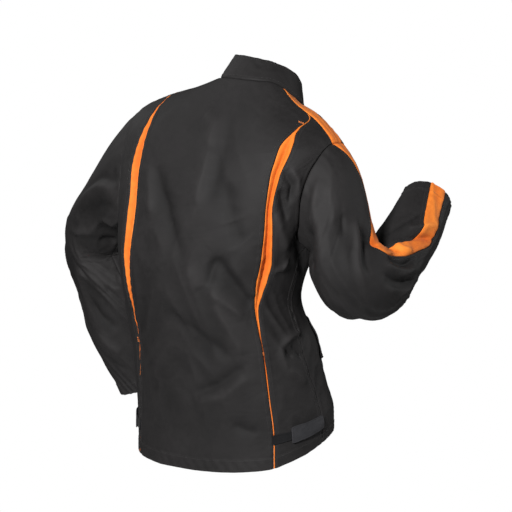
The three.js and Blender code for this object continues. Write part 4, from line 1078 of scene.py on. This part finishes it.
def barTacks():  # short dense rows across the seams
    paths = []
    for angle, v, slant in zip(*tackPlaces.values()):
        for row in np.linspace(-tack["width"] / 2, tack["width"] / 2, tack["rows"]):
            run = np.linspace(*stitchSpans["tack"]) * tack["length"]
            across = run * math.cos(slant) - row * math.sin(slant)
            down = run * math.sin(slant) + row * math.cos(slant)
            paths.append(bodyPath(angle + across / bodyDegree(angle, v), v + down / body["length"],
                                  cloth["thickness"] / 2 + tack["lift"]))
    return paths


seamPaths = bodyStitches()
for name in arms:
    seamPaths += sleeveStitches(name)
seamPaths += collarStitches()
count = stitchPiece("seam_stitches", seamPaths, "thread")
count += stitchPiece("bar_tacks", barTacks(), "orangeThread")
print("stitches made:", count, "faces")

# Floor, light and camera
stage = {"floorHeight": -1.35, "floorRadius": 1.2, "floorSides": 96, "white": (0.8, 0.8, 0.8),
         "roughness": 0.9, "worldStrength": 0.03}
camera = {"azimuth": 217, "elevation": 10, "distance": 3.0, "target": (0.009, 0.007, -0.325), "lens": 114.02,
          "sensor": 36}
lights = table(
    "right towards up size watts",
    (-0.9, 2.6, 0.8, 0.5, 160),  # key, left of the camera
    (2.5, -0.4, 0.6, 0.6, 22),
    (-1.6, -1.4, 1.6, 0.9, 12),
)

bpy.ops.mesh.primitive_circle_add(vertices=stage["floorSides"], radius=stage["floorRadius"],
                                  fill_type="NGON", location=(0, 0, stage["floorHeight"]))
floor = bpy.context.object
floor.name = "floor"
floorMaterial = bpy.data.materials.new("paleFloor")
floorMaterial.use_nodes = True
floorShader = floorMaterial.node_tree.nodes["Principled BSDF"]
floorShader.inputs["Base Color"].default_value = (*stage["white"], 1)
floorShader.inputs["Roughness"].default_value = stage["roughness"]
floor.data.materials.append(floorMaterial)

world = bpy.data.worlds.new("studio")
world.use_nodes = True
background = world.node_tree.nodes["Background"]
background.inputs["Color"].default_value = (1, 1, 1, 1)
lightPath = world.node_tree.nodes.new("ShaderNodeLightPath")  # white to the camera, dimmer as a light
brightness = world.node_tree.nodes.new("ShaderNodeMix")
brightness.inputs["A"].default_value = stage["worldStrength"]
brightness.inputs["B"].default_value = 1.0
world.node_tree.links.new(lightPath.outputs["Is Camera Ray"], brightness.inputs["Factor"])
world.node_tree.links.new(brightness.outputs["Result"], background.inputs["Strength"])
bpy.context.scene.world = world

azimuth, elevation = math.radians(camera["azimuth"]), math.radians(camera["elevation"])
towards = Vector((math.sin(azimuth) * math.cos(elevation), -math.cos(azimuth) * math.cos(elevation),
                  math.sin(elevation)))
rightwards = Vector((math.cos(azimuth), math.sin(azimuth), 0))
target = Vector(camera["target"])
for number, (right, near, up, size, watts) in enumerate(zip(*lights.values())):
    data = bpy.data.lights.new(f"softbox{number}", "AREA")
    data.size, data.energy = size, watts
    softbox = bpy.data.objects.new(data.name, data)
    softbox.location = target + rightwards * right + towards * near + Vector((0, 0, up))
    softbox.rotation_euler = (softbox.location - target).to_track_quat("Z", "Y").to_euler()
    bpy.context.collection.objects.link(softbox)
cameraData = bpy.data.cameras.new("camera")
cameraData.lens, cameraData.sensor_width = camera["lens"], camera["sensor"]
cameraObject = bpy.data.objects.new("camera", cameraData)
cameraObject.location = target + towards * camera["distance"]
cameraObject.rotation_euler = towards.to_track_quat("Z", "Y").to_euler()
bpy.context.collection.objects.link(cameraObject)
bpy.context.scene.camera = cameraObject
bpy.context.scene.view_settings.view_transform = "Standard"
print("stage, lights and camera made")
